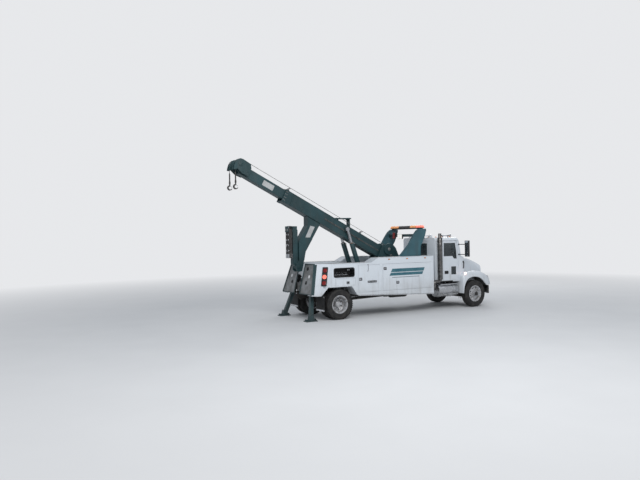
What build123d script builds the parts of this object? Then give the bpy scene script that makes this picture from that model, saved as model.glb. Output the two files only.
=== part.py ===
from build123d import *
from math import atan2, cos, degrees, hypot, radians, sin, tan
import os

# A conventional-cab heavy tow truck with a raised telescopic boom, in millimetres.
# X runs forward, Y to the truck's left and Z up from the ground. Side outlines are
# given as (distance ahead of the rear axle, height above the ground).
os.makedirs("parts", exist_ok=True)

RIGHT, LEFT = -1, 1
SIDES = (("right", RIGHT), ("left", LEFT))
REAR_AXLE_X = -1813.1
WHEELBASE = 6043
FRONT_AXLE_X = REAR_AXLE_X + WHEELBASE
PLAY = 0.3
MOVE_GAP = 8

# Running gear
TYRE_RADIUS = 505
TYRE_WIDTH = 250
RIM_RADIUS = 286
RIM_FLANGE_RADIUS = 306
RIM_HALF_WIDTH = 108
RIM_LIP = 5
FRONT_TYRE_Y = 1045
REAR_OUTER_Y = 1075
REAR_INNER_Y = 735
SPINDLE_RADIUS = 45
BEARING_PLAY = 0.05

# Chassis frame
RAIL_OUTER_Y = 430
RAIL_BOTTOM_Z = 640
RAIL_TOP_Z = 900
RAIL_FLANGE = 85
RAIL_THICKNESS = 10
FRAME_REAR = -760
FRAME_FRONT = WHEELBASE + 657

# Wrecker body
BODY_HALF_WIDTH = 1220
BOX_INNER_Y = 760
BODY_FRONT = WHEELBASE - 2073
BODY_BOTTOM_Z = 780
LOW_RAIL_Z = 1850
HIGH_RAIL_Z = 2000
RAMP_REAR = 1250
RAMP_FRONT = 1550
BODY_WALL = 6
DECK_Z = 1300
SLOT_HALF_WIDTH = 200

# Cab
CAB_BACK = BODY_FRONT + 320
CAB_HALF_WIDTH = 940
CAB_WALL = 45
CAB_FLOOR_Z = 1000
CAB_ROOF_Z = 2650
COWL = WHEELBASE - 363
COWL_Z = 1905

# Boom
PIVOT = 2660
PIVOT_Z = 2260
BOOM_ANGLE = 27.2
BOOM_DEPTH = 430
BOOM_WIDTH = 360
BOOM_LENGTH = 4565
BOOM_WALL = 12
INNER_DEPTH = 310
INNER_WIDTH = 290
HEAD_START = 6000


def side_plane(y):
    """Vertical fore-and-aft plane: sketch x is forward, sketch y is up."""
    return Plane(origin=(REAR_AXLE_X, y, 0), x_dir=(1, 0, 0), z_dir=(0, -1, 0))


def side_slab(outline, y_low, y_high, mode=Mode.ADD):
    """A side outline carried across from y_low to y_high."""
    with BuildSketch(side_plane(y_high)) as profile:
        with BuildLine():
            Polyline(*outline, close=True)
        make_face()
    extrude(profile.sketch, amount=y_high - y_low, mode=mode)


def plan_slab(outline, z_low, z_high, mode=Mode.ADD):
    """A plan outline (ahead of the rear axle, left) carried up from z_low to z_high."""
    with BuildSketch(Plane((REAR_AXLE_X, 0, z_low))) as profile:
        with BuildLine():
            Polyline(*outline, close=True)
        make_face()
    extrude(profile.sketch, amount=z_high - z_low, mode=mode)


def end_slab(outline, x_low, x_high, mode=Mode.ADD):
    """An end outline (left, up) carried forward from x_low to x_high."""
    with BuildSketch(Plane.YZ.offset(REAR_AXLE_X + x_low)) as profile:
        with BuildLine():
            Polyline(*outline, close=True)
        make_face()
    extrude(profile.sketch, amount=x_high - x_low, mode=mode)


def box_between(x_pair, y_pair, z_pair, mode=Mode.ADD):
    """A block between two stations ahead of the rear axle, two sides and two heights."""
    centre = (REAR_AXLE_X + sum(x_pair) / 2, sum(y_pair) / 2, sum(z_pair) / 2)
    with Locations(centre):
        Box(
            abs(x_pair[1] - x_pair[0]), abs(y_pair[1] - y_pair[0]), abs(z_pair[1] - z_pair[0]), mode=mode
        )


def cross_shaft(x, z, radius, y_low, y_high, mode=Mode.ADD):
    """A round bar across the truck."""
    with BuildSketch(side_plane(y_high)) as profile:
        with Locations((x, z)):
            Circle(radius)
    extrude(profile.sketch, amount=y_high - y_low, mode=mode)


def post(x, y, radius, z_low, z_high, mode=Mode.ADD):
    """A round upright."""
    with BuildSketch(Plane((REAR_AXLE_X, 0, z_low))) as profile:
        with Locations((x, y)):
            Circle(radius)
    extrude(profile.sketch, amount=z_high - z_low, mode=mode)


def pair(y_a, y_b, side):
    """Two distances from the centre line as a low and a high Y on the given side."""
    return tuple(sorted((side * y_a, side * y_b)))


def save(part, name):
    """Names a finished piece and writes it."""
    part.label = name
    export_step(part, f"parts/{name}.step")


# Frame: two channel rails joined by tubes
CROSS_TUBES = (-180, 700, 2400, BODY_FRONT - 70, CAB_BACK + 110, FRAME_FRONT - 60)
CAB_MOUNTS = (CAB_BACK + 110, COWL - 120)
with BuildPart() as frame_rails:
    for name, side in SIDES:
        y_web = side * RAIL_OUTER_Y
        y_lip = side * (RAIL_OUTER_Y - RAIL_FLANGE)
        y_inside = side * (RAIL_OUTER_Y - RAIL_THICKNESS)
        channel = (
            (y_web, RAIL_BOTTOM_Z),
            (y_lip, RAIL_BOTTOM_Z),
            (y_lip, RAIL_BOTTOM_Z + RAIL_THICKNESS),
            (y_inside, RAIL_BOTTOM_Z + RAIL_THICKNESS),
            (y_inside, RAIL_TOP_Z - RAIL_THICKNESS),
            (y_lip, RAIL_TOP_Z - RAIL_THICKNESS),
            (y_lip, RAIL_TOP_Z),
            (y_web, RAIL_TOP_Z),
        )
        end_slab(channel, FRAME_REAR, FRAME_FRONT)
        y_low, y_high = pair(RAIL_OUTER_Y - RAIL_FLANGE, RAIL_OUTER_Y, side)
        for x in CAB_MOUNTS:
            box_between((x - 50, x + 50), (y_low, y_high), (RAIL_TOP_Z, CAB_FLOOR_Z - PLAY))
    for x in CROSS_TUBES:
        reach = RAIL_OUTER_Y - RAIL_THICKNESS / 2
        cross_shaft(x, RAIL_TOP_Z - 90, 55, -reach, reach)
save(frame_rails.part, "frame_rails")

# Rear axle: round housing with a banjo centre
DIFF_RADIUS = 200
AXLE_TUBE_RADIUS = 62
REAR_HUB_FACE = 905
with BuildPart() as rear_axle:
    cross_shaft(0, TYRE_RADIUS, AXLE_TUBE_RADIUS, -560, 560)
    cross_shaft(0, TYRE_RADIUS, SPINDLE_RADIUS, -REAR_HUB_FACE, REAR_HUB_FACE)
    with Locations((REAR_AXLE_X, 0, TYRE_RADIUS)):
        Sphere(DIFF_RADIUS)
    with BuildSketch(Plane.YZ.offset(REAR_AXLE_X + 150)):
        with Locations((0, TYRE_RADIUS)):
            Circle(110)
    extrude(amount=230, taper=8)
save(rear_axle.part, "rear_axle")

# Drive shaft and the engine with its gearbox
SHAFT_RADIUS = 50
GEARBOX_REAR = WHEELBASE - 1443
ENGINE_REAR = WHEELBASE - 343
ENGINE_FRONT = WHEELBASE + 517
with BuildPart() as drive_shaft:
    with BuildSketch(Plane.YZ.offset(REAR_AXLE_X + 380 + PLAY)):
        with Locations((0, TYRE_RADIUS)):
            Circle(SHAFT_RADIUS)
    with BuildSketch(Plane.YZ.offset(REAR_AXLE_X + GEARBOX_REAR - PLAY)):
        with Locations((0, 640)):
            Circle(SHAFT_RADIUS)
    loft()
save(drive_shaft.part, "drive_shaft")

with BuildPart() as engine_block:
    box_between((ENGINE_REAR, ENGINE_FRONT), (-290, 290), (660, 1300))
    box_between((GEARBOX_REAR, ENGINE_REAR), (-190, 190), (540, 880))
    web_inside = RAIL_OUTER_Y - RAIL_THICKNESS - PLAY
    for x in (GEARBOX_REAR + 200, ENGINE_REAR + 100, ENGINE_REAR + 600):
        box_between((x, x + 100), (-web_inside, web_inside), (720, 790))
save(engine_block.part, "engine_block")

# Front axle: a dropped I-beam with an eye at each end for the kingpin
KINGPIN_Y = 860
KINGPIN_RADIUS = 28
AXLE_EYE_RADIUS = 55
AXLE_EYE_HEIGHT = 150
with BuildPart() as front_axle:
    beam = (
        (-KINGPIN_Y, TYRE_RADIUS + 45),
        (-620, TYRE_RADIUS - 5),
        (-480, TYRE_RADIUS - 85),
        (480, TYRE_RADIUS - 85),
        (620, TYRE_RADIUS - 5),
        (KINGPIN_Y, TYRE_RADIUS + 45),
        (KINGPIN_Y, TYRE_RADIUS - 45),
        (600, TYRE_RADIUS - 90),
        (470, TYRE_RADIUS - 175),
        (-470, TYRE_RADIUS - 175),
        (-600, TYRE_RADIUS - 90),
        (-KINGPIN_Y, TYRE_RADIUS - 45),
    )
    end_slab(beam, WHEELBASE - 50, WHEELBASE + 50)
    for name, side in SIDES:
        post(WHEELBASE, side * KINGPIN_Y, AXLE_EYE_RADIUS, TYRE_RADIUS - 75, TYRE_RADIUS + 75)
    for name, side in SIDES:
        post(
            WHEELBASE, side * KINGPIN_Y, KINGPIN_RADIUS + BEARING_PLAY, 0, 2 * TYRE_RADIUS, Mode.SUBTRACT
        )
save(front_axle.part, "front_axle")

# Leaf springs: one pack under each rail at each axle
SPRING_Y = 388
SPRING_WIDTH = 76
LEAF = 16
# axle station, height of the axle seat, half length
SPRINGS = ((0, TYRE_RADIUS + AXLE_TUBE_RADIUS, 640), (WHEELBASE, TYRE_RADIUS - 85, 620))
with BuildPart() as leaf_springs:
    for station, seat_z, half_length in SPRINGS:
        for name, side in SIDES:
            y_low, y_high = pair(SPRING_Y - SPRING_WIDTH / 2, SPRING_Y + SPRING_WIDTH / 2, side)
            for leaf, share in enumerate((0.35, 0.55, 0.78, 1.0)):
                reach = half_length * share
                low = seat_z + PLAY + leaf * LEAF
                rise = (RAIL_BOTTOM_Z - low - LEAF - PLAY) * share**2 if leaf else 0
                with BuildSketch(side_plane(y_high)) as leaf_side:
                    with BuildLine():
                        under = ThreePointArc(
                            (station - reach, low + rise), (station, low), (station + reach, low + rise)
                        ) if rise else Line((station - reach, low), (station + reach, low))
                        front = Line(under @ 1, (station + reach, low + rise + LEAF))
                        over = ThreePointArc(
                            front @ 1, (station, low + LEAF), (station - reach, low + rise + LEAF)
                        ) if rise else Line(front @ 1, (station - reach, low + LEAF))
                        Line(over @ 1, under @ 0)
                    make_face()
                extrude(leaf_side.sketch, amount=y_high - y_low)
save(leaf_springs.part, "leaf_springs")

# Steering knuckles: a fork on the kingpin and a spindle for the hub
KNUCKLE_EAR = 42
EAR_GAP = 1
for name, side in SIDES:
    with BuildPart() as knuckle:
        post(
            WHEELBASE,
            side * KINGPIN_Y,
            KINGPIN_RADIUS,
            TYRE_RADIUS - 75 - EAR_GAP - KNUCKLE_EAR,
            TYRE_RADIUS + 75 + EAR_GAP + KNUCKLE_EAR,
        )
        for low in (TYRE_RADIUS - 75 - EAR_GAP - KNUCKLE_EAR, TYRE_RADIUS + 75 + EAR_GAP):
            box_between(
                (WHEELBASE - 45, WHEELBASE + 45),
                pair(KINGPIN_Y - 40, KINGPIN_Y + 95, side),
                (low, low + KNUCKLE_EAR),
            )
        box_between(
            (WHEELBASE - 45, WHEELBASE + 45),
            pair(KINGPIN_Y + AXLE_EYE_RADIUS + 6, KINGPIN_Y + 95, side),
            (TYRE_RADIUS - 75 - EAR_GAP - KNUCKLE_EAR, TYRE_RADIUS + 75 + EAR_GAP + KNUCKLE_EAR),
        )
        y_low, y_high = pair(KINGPIN_Y + 90, FRONT_TYRE_Y + 20, side)
        cross_shaft(WHEELBASE, TYRE_RADIUS, SPINDLE_RADIUS, y_low, y_high)
    save(knuckle.part, f"knuckle_{name}")

# Tyres: radial sections turned about the axle
TYRE_HALF = TYRE_WIDTH / 2
BEAD_HALF = RIM_HALF_WIDTH - RIM_LIP - PLAY
HALF_SECTION = (
    # across from the tyre's middle, radius
    (BEAD_HALF, RIM_RADIUS),
    (BEAD_HALF, RIM_FLANGE_RADIUS),
    (TYRE_HALF - 3, RIM_FLANGE_RADIUS + 30),
    (TYRE_HALF, RIM_FLANGE_RADIUS + 90),
    (TYRE_HALF - 9, TYRE_RADIUS - 35),
    (TYRE_HALF - 25, TYRE_RADIUS - 6),
    (TYRE_HALF - 50, TYRE_RADIUS),
)
TYRE_SECTION = HALF_SECTION + tuple((-across, radius) for across, radius in reversed(HALF_SECTION))


def turned(outline, station, y, mode=Mode.ADD):
    """An outline (outboard, radius) turned about an axle at the given station."""
    plane = Plane(
        origin=(REAR_AXLE_X + station, y, TYRE_RADIUS), x_dir=(0, 1, 0), z_dir=(1, 0, 0)
    )
    with BuildSketch(plane) as profile:
        with BuildLine():
            Polyline(*outline, close=True)
        make_face()
    revolve(profile.sketch, axis=Axis(plane.origin, (0, 1, 0)), mode=mode)


# Disc wheels: rolled rim, pressed disc with hand holes and a hub
HAND_HOLES = 8
RIM_PLATE = 10
DISC_BACK = 11


def rim_ring(station, y):
    """Rolled rim: a drop-centre barrel with a flange at each edge."""
    ring = (
        (-RIM_HALF_WIDTH, RIM_FLANGE_RADIUS - 4),
        (-RIM_HALF_WIDTH, RIM_RADIUS - PLAY - RIM_PLATE),
        (-70, RIM_RADIUS - 30),
        (70, RIM_RADIUS - 30),
        (RIM_HALF_WIDTH, RIM_RADIUS - PLAY - RIM_PLATE),
        (RIM_HALF_WIDTH, RIM_FLANGE_RADIUS - 4),
        (RIM_HALF_WIDTH - RIM_LIP, RIM_FLANGE_RADIUS - 4),
        (RIM_HALF_WIDTH - RIM_LIP, RIM_RADIUS - PLAY),
        (65, RIM_RADIUS - 20),
        (-65, RIM_RADIUS - 20),
        (-RIM_HALF_WIDTH + RIM_LIP, RIM_RADIUS - PLAY),
        (-RIM_HALF_WIDTH + RIM_LIP, RIM_FLANGE_RADIUS - 4),
    )
    turned(ring, station, y)


def hand_holes(station, y_low, y_high, ring_radius, hole_radius):
    """A ring of hand holes through a wheel disc."""
    for index in range(HAND_HOLES):
        turn = radians(360 * (index + 0.5) / HAND_HOLES)
        cross_shaft(
            station + ring_radius * cos(turn),
            TYRE_RADIUS + ring_radius * sin(turn),
            hole_radius,
            y_low,
            y_high,
            Mode.SUBTRACT,
        )


for name, side in SIDES:
    with BuildPart() as tyre:
        turned(TYRE_SECTION, WHEELBASE, side * FRONT_TYRE_Y)
    save(tyre.part, f"front_tyre_{name}")

    with BuildPart() as rim:
        rim_ring(WHEELBASE, side * FRONT_TYRE_Y)
        disc = (
            (40, RIM_RADIUS - 24),
            (62, 200),
            (75, 150),
            (75, 90),
            (150, 88),
            (158, 70),
            (158, 0),
            (48, 0),
            (48, 80),
            (60, 88),
            (62, 150),
            (50, 196),
            (28, RIM_RADIUS - 24),
        )
        turned([(side * across, radius) for across, radius in disc], WHEELBASE, side * FRONT_TYRE_Y)
        y_low, y_high = pair(FRONT_TYRE_Y, FRONT_TYRE_Y + 100, side)
        hand_holes(WHEELBASE, y_low, y_high, 205, 26)
        bore = SPINDLE_RADIUS + BEARING_PLAY
        sleeve = ((-72, 78), (52, 78), (52, bore), (-72, bore))
        turned([(side * across, radius) for across, radius in sleeve], WHEELBASE, side * FRONT_TYRE_Y)
    save(rim.part, f"front_rim_{name}")

    with BuildPart() as dual_tyres:
        for y in (REAR_OUTER_Y, REAR_INNER_Y):
            turned(TYRE_SECTION, 0, side * y)
    save(dual_tyres.part, f"rear_tyres_{name}")

    with BuildPart() as dual_rims:
        for y in (REAR_OUTER_Y, REAR_INNER_Y):
            rim_ring(0, side * y)
        for away in (-1, 1):
            disc = (
                (0, 80),
                (away * DISC_BACK, 80),
                (away * DISC_BACK, 170),
                (away * 45, 215),
                (away * 100, RIM_RADIUS - 24),
                (away * 88, RIM_RADIUS - 24),
                (away * 34, 222),
                (0, 178),
            )
            turned([(side * across, radius) for across, radius in disc], 0, side * REAR_HUB_FACE)
        hub = (
            (-230, 100),
            (-60, 100),
            (-30, 120),
            (20, 120),
            (40, 98),
            (150, 90),
            (158, 70),
            (158, 0),
            (10, 0),
            (10, SPINDLE_RADIUS + BEARING_PLAY),
            (-230, SPINDLE_RADIUS + BEARING_PLAY),
        )
        turned([(side * across, radius) for across, radius in hub], 0, side * REAR_HUB_FACE)
        y_low, y_high = pair(REAR_HUB_FACE - 70, REAR_HUB_FACE + 70, side)
        hand_holes(0, y_low, y_high, 200, 26)
    save(dual_rims.part, f"rear_rims_{name}")

# Cab: sheet-metal shell with the doors, windscreen and rear window cut out
SCREEN_BASE = COWL - 120
SCREEN_BASE_Z = COWL_Z + 30
SCREEN_TOP = COWL - 230
DOOR_TOP_Z = 2520
CAB_SIDE = (
    (CAB_BACK, CAB_FLOOR_Z),
    (COWL, CAB_FLOOR_Z),
    (COWL, COWL_Z),
    (SCREEN_BASE, SCREEN_BASE_Z),
    (SCREEN_TOP, DOOR_TOP_Z),
    (SCREEN_TOP - 90, CAB_ROOF_Z),
    (CAB_BACK, CAB_ROOF_Z),
)
CAB_INSIDE = (
    (CAB_BACK + CAB_WALL, CAB_FLOOR_Z + CAB_WALL),
    (COWL - CAB_WALL, CAB_FLOOR_Z + CAB_WALL),
    (COWL - CAB_WALL, COWL_Z - CAB_WALL),
    (SCREEN_BASE - CAB_WALL, SCREEN_BASE_Z - CAB_WALL),
    (SCREEN_TOP - CAB_WALL, DOOR_TOP_Z - 10),
    (SCREEN_TOP - 110, CAB_ROOF_Z - CAB_WALL),
    (CAB_BACK + CAB_WALL, CAB_ROOF_Z - CAB_WALL),
)
DOOR_REAR = CAB_BACK + 255
DOOR_FRONT = COWL - 280
DOOR_LOW_Z = 1040
DOOR_OUTLINE = (
    (DOOR_REAR, DOOR_LOW_Z),
    (DOOR_FRONT, DOOR_LOW_Z),
    (DOOR_FRONT, 1850),
    (DOOR_FRONT - 20, 2150),
    (DOOR_FRONT - 80, DOOR_TOP_Z),
    (DOOR_REAR, DOOR_TOP_Z),
)
DOOR_WINDOW = (
    (DOOR_REAR + 160, 1950),
    (DOOR_FRONT - 270, 1950),
    (DOOR_FRONT - 200, 1850),
    (DOOR_FRONT - 60, 1850),
    (DOOR_FRONT - 80, 2130),
    (DOOR_FRONT - 135, 2440),
    (DOOR_REAR + 160, 2440),
)
PEEP_WINDOW = (
    (DOOR_FRONT - 340, 1260),
    (DOOR_FRONT - 100, 1260),
    (DOOR_FRONT - 100, 1560),
    (DOOR_FRONT - 340, 1560),
)
DOOR_HINGE_X = DOOR_FRONT + 3
DOOR_HINGE_RADIUS = 12
DOOR_HINGE_Y = CAB_HALF_WIDTH + DOOR_HINGE_RADIUS + PLAY
DOOR_HINGES = (1180, 1660)
DOOR_HINGE_LENGTH = 50
DOOR_GAP = 6


def grown(outline, amount):
    """The same side outline with every edge moved out by an amount."""
    with BuildSketch(Plane.XY, mode=Mode.PRIVATE) as drawing:
        with BuildLine():
            Polyline(*outline, close=True)
        make_face()
        offset(amount=amount, kind=Kind.INTERSECTION)
    return [(corner.X, corner.Y) for corner in drawing.sketch.face().outer_wire().vertices()]


with BuildPart() as cab_solid:
    side_slab(CAB_SIDE, -CAB_HALF_WIDTH, CAB_HALF_WIDTH)
    roof_edges = cab_solid.edges().filter_by(Axis.X).group_by(Axis.Z)[-1]
    fillet(roof_edges, radius=110)
    side_slab(CAB_INSIDE, -CAB_HALF_WIDTH + CAB_WALL, CAB_HALF_WIDTH - CAB_WALL, Mode.SUBTRACT)

with BuildPart() as cab_shell:
    add(cab_solid.part)
    for name, side in SIDES:
        y_low, y_high = pair(CAB_HALF_WIDTH - CAB_WALL, CAB_HALF_WIDTH + 10, side)
        side_slab(grown(DOOR_OUTLINE, DOOR_GAP), y_low, y_high, Mode.SUBTRACT)
        y_low, y_high = pair(CAB_HALF_WIDTH - 2, DOOR_HINGE_Y, side)
        for z in DOOR_HINGES:
            top = z + DOOR_HINGE_LENGTH
            box_between((DOOR_HINGE_X, DOOR_HINGE_X + 30), (y_low, y_high), (z, top))
            post(DOOR_HINGE_X, side * DOOR_HINGE_Y, DOOR_HINGE_RADIUS, z, top)
            low = z - DOOR_HINGE_LENGTH
            post(DOOR_HINGE_X, side * DOOR_HINGE_Y, DOOR_HINGE_RADIUS / 2, low, top)
    windscreen = ((-850, 1980), (850, 1980), (790, 2480), (-790, 2480))
    end_slab(windscreen, SCREEN_TOP - 100, COWL + 20, Mode.SUBTRACT)
    rear_window = ((-480, 1960), (480, 1960), (480, 2440), (-480, 2440))
    end_slab(rear_window, CAB_BACK - 10, CAB_BACK + CAB_WALL + 10, Mode.SUBTRACT)
save(cab_shell.part, "cab_shell")

for name, side in SIDES:
    with BuildPart() as cab_door:
        add(cab_solid.part)
        y_low, y_high = pair(CAB_HALF_WIDTH - CAB_WALL + DOOR_GAP, CAB_HALF_WIDTH + 10, side)
        side_slab(DOOR_OUTLINE, y_low, y_high, Mode.INTERSECT)
        side_slab(DOOR_WINDOW, y_low, y_high, Mode.SUBTRACT)
        side_slab(PEEP_WINDOW, y_low, y_high, Mode.SUBTRACT)
        y_low, y_high = pair(CAB_HALF_WIDTH - 2, CAB_HALF_WIDTH + 22, side)
        box_between((DOOR_REAR + 200, DOOR_REAR + 360), (y_low, y_high), (1335, 1365))
        y_low, y_high = pair(CAB_HALF_WIDTH - 2, DOOR_HINGE_Y, side)
        for z in DOOR_HINGES:
            top = z - PLAY
            low = z - DOOR_HINGE_LENGTH
            box_between((DOOR_HINGE_X - 60, DOOR_HINGE_X), (y_low, y_high), (low, top))
            post(DOOR_HINGE_X, side * DOOR_HINGE_Y, DOOR_HINGE_RADIUS, low, top)
            bore = DOOR_HINGE_RADIUS / 2 + BEARING_PLAY
            post(DOOR_HINGE_X, side * DOOR_HINGE_Y, bore, low - 1, top + 1, Mode.SUBTRACT)
    save(cab_door.part, f"cab_door_{name}")

# Mirrors on two arms from each front pillar
MIRROR_X = COWL - 120
MIRROR_Y = 1290
PILLAR_X = COWL - 250
for name, side in SIDES:
    with BuildPart() as mirror:
        y_low, y_high = pair(MIRROR_Y - 110, MIRROR_Y + 90, side)
        box_between((MIRROR_X - 40, MIRROR_X + 40), (y_low, y_high), (1920, 2520))
        fillet(mirror.edges().filter_by(Axis.Z), radius=25)
        skin = side * (CAB_HALF_WIDTH + PLAY)
        inboard = side * (MIRROR_Y - 60)
        for z in (2000, 2380):
            arm = (
                (PILLAR_X, skin),
                (PILLAR_X + 30, skin),
                (MIRROR_X + 12, inboard),
                (MIRROR_X - 16, inboard),
            )
            plan_slab(arm, z - 14, z + 14)
    save(mirror.part, f"mirror_{name}")

# Cab inside: two seats, the dashboard and the steering wheel
SEAT_REAR = CAB_BACK + 140
SEAT_SIDE = (
    (SEAT_REAR + 70, CAB_FLOOR_Z + CAB_WALL),
    (SEAT_REAR + 550, CAB_FLOOR_Z + CAB_WALL),
    (SEAT_REAR + 580, 1400),
    (SEAT_REAR + 210, 1400),
    (SEAT_REAR + 130, 2080),
    (SEAT_REAR, 2080),
    (SEAT_REAR + 10, 1300),
    (SEAT_REAR + 70, 1250),
)
with BuildPart() as seats:
    for name, side in SIDES:
        y_low, y_high = pair(180, 680, side)
        side_slab(SEAT_SIDE, y_low, y_high)
save(seats.part, "seats")

WHEEL_Y = 430
WHEEL_RADIUS = 215
WHEEL_RIM = 25
with BuildPart() as dashboard:
    reach = CAB_HALF_WIDTH - CAB_WALL - 10
    front = COWL - CAB_WALL
    side_slab(((COWL - 320, 1500), (front, 1400), (front, 1800), (COWL - 230, 1820)), -reach, reach)
    wheel_plane = Plane(
        origin=(REAR_AXLE_X + COWL - 440, WHEEL_Y, 1700), x_dir=(0, 1, 0), z_dir=(-0.55, 0, 0.83)
    )
    with BuildSketch(wheel_plane):
        Circle(WHEEL_RADIUS)
        Circle(WHEEL_RADIUS - WHEEL_RIM, mode=Mode.SUBTRACT)
        Rectangle(2 * WHEEL_RADIUS - WHEEL_RIM, 34)
        Circle(50)
    extrude(amount=24)
    with BuildSketch(wheel_plane):
        Circle(32)
    extrude(amount=-300)
save(dashboard.part, "dashboard")

# Fuel tanks with their steps
TANK_RADIUS = 250
TANK_Y = 695
TANK_REAR = CAB_BACK + 180
TANK_FRONT = COWL - 280
TANK_Z = 690
with BuildPart() as fuel_tanks:
    for name, side in SIDES:
        with BuildSketch(Plane.YZ.offset(REAR_AXLE_X + TANK_REAR)):
            with Locations((side * TANK_Y, TANK_Z)):
                Circle(TANK_RADIUS)
        extrude(amount=TANK_FRONT - TANK_REAR)
        for station in (TANK_REAR + 170, TANK_FRONT - 230):
            y_low, y_high = pair(RAIL_OUTER_Y + PLAY, TANK_Y, side)
            box_between((station, station + 60), (y_low, y_high), (TANK_Z - 40, TANK_Z + 40))
        y_low, y_high = pair(TANK_Y + 60, CAB_HALF_WIDTH + 30, side)
        box_between((TANK_REAR + 40, TANK_FRONT - 40), (y_low, y_high), (TANK_Z + 200, TANK_Z + 230))
save(fuel_tanks.part, "fuel_tanks")

# Exhaust stack beside the cab's corner, with its heat shield and the pipe to the frame
STACK_X = CAB_BACK + 145
STACK_Y = -1045
SHIELD_RADIUS = 90
PIPE_RADIUS = 58
SHIELD_LOW_Z = 1110
SHIELD_TOP_Z = 2640
STACK_TOP_Z = 2800
ELBOW_X = CAB_BACK - 150
ELBOW_Z = 1040
ELBOW_RADIUS = 90
CROSS_Z = 790
with BuildPart() as exhaust_stack:
    stack_top = (REAR_AXLE_X + STACK_X, STACK_Y, STACK_TOP_Z)
    with BuildLine():
        FilletPolyline(
            stack_top,
            (REAR_AXLE_X + STACK_X, STACK_Y, ELBOW_Z),
            (REAR_AXLE_X + ELBOW_X, STACK_Y, ELBOW_Z),
            (REAR_AXLE_X + ELBOW_X, STACK_Y, CROSS_Z),
            (REAR_AXLE_X + ELBOW_X, -RAIL_OUTER_Y - PLAY, CROSS_Z),
            radius=ELBOW_RADIUS,
        )
    with BuildSketch(Plane(stack_top)):
        Circle(PIPE_RADIUS)
    sweep()
    post(STACK_X, STACK_Y, SHIELD_RADIUS, SHIELD_LOW_Z, SHIELD_TOP_Z)
    for z in (1500, 2300):
        box_between((STACK_X - 25, STACK_X + 25), (STACK_Y, -CAB_HALF_WIDTH - PLAY), (z, z + 40))
save(exhaust_stack.part, "exhaust_stack")

# Hood: tapering bonnet with the two front wings, tilting forward as one moulding
HOOD_REAR = COWL + MOVE_GAP
HOOD_FRONT = WHEELBASE + 817
HOOD_WALL = 12
WING_OUTER_Y = 1180
HOOD_HINGE = (HOOD_FRONT + 20, 830)
HINGE_Y = 462
HINGE_PIN_RADIUS = 10
EAR_WIDTH = 20
HEADLAMP_Y = 880
GRILLE_DEPTH = 18
GRILLE_BACK = HOOD_FRONT - HOOD_WALL - PLAY - GRILLE_DEPTH
BAR_SPACING = 70
BAR_COUNT = 11
BAR_WIDTH = 16


def hood_body(skin, low_drop):
    """The bonnet's tapering form, drawn in by a skin thickness and carried down by a drop."""
    ends = []
    for station, half_width, low, high, corner in BONNET_ENDS:
        height = high - skin - (low - low_drop)
        with BuildSketch(Plane.YZ.offset(REAR_AXLE_X + station)) as end:
            with Locations((0, high - skin - height / 2)):
                RectangleRounded(2 * (half_width - skin), height, corner)
        ends.append(end.sketch.face())
    return loft(ends, mode=Mode.PRIVATE)


# station, half width, bottom, top, corner radius
BONNET_ENDS = (
    (HOOD_REAR, 900, 960, COWL_Z - 5, 170),
    (HOOD_REAR + 620, 735, 880, 1785, 190),
    (HOOD_FRONT, 630, 800, 1570, 150),
)
BONNET_SIDE_Y = 520
GRILLE_HALF_WIDTH = 430
GRILLE_LOW_Z = 860
GRILLE_TOP_Z = 1440
WING_REAR = COWL - 240
WING_FRONT = HOOD_FRONT + 40
ARCH_RADIUS = 600
ARCH_CENTRE_Z = 540
WING_CROWN_Z = 1000
WING_SIDE = (
    (WING_REAR, 530),
    (WHEELBASE, 530),
    (WHEELBASE + ARCH_RADIUS, 800),
    (WING_FRONT, 800),
    (WING_FRONT, 960),
    (WING_FRONT - 100, 1180),
    (WING_FRONT - 340, 1320),
    (WHEELBASE, 1375),
    (WING_REAR + 200, 1360),
    (WING_REAR, 1300),
)
WING_INSIDE = (
    (WING_REAR + HOOD_WALL, 400),
    (WING_FRONT - HOOD_WALL, 400),
    (WING_FRONT - HOOD_WALL, 955),
    (WING_FRONT - 108, 1170),
    (WING_FRONT - 345, 1308),
    (WHEELBASE, 1375 - HOOD_WALL),
    (WING_REAR + 203, 1360 - HOOD_WALL),
    (WING_REAR + HOOD_WALL, 1290),
)
WING_ROUND = 75


def wing(outline, skin, side):
    """A front wing's block, its outer upper edge rounded, drawn in by a skin thickness."""
    with BuildPart(mode=Mode.PRIVATE) as block:
        y_low, y_high = pair(BONNET_SIDE_Y + skin, WING_OUTER_Y - skin, side)
        side_slab(outline, y_low, y_high)
        rim = block.faces().sort_by(Axis.Y)[-1 if side > 0 else 0].edges()
        crown = [edge for edge in rim if edge.center().Z > WING_CROWN_Z]
        fillet(crown, radius=WING_ROUND - skin)
    return block.part


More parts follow.
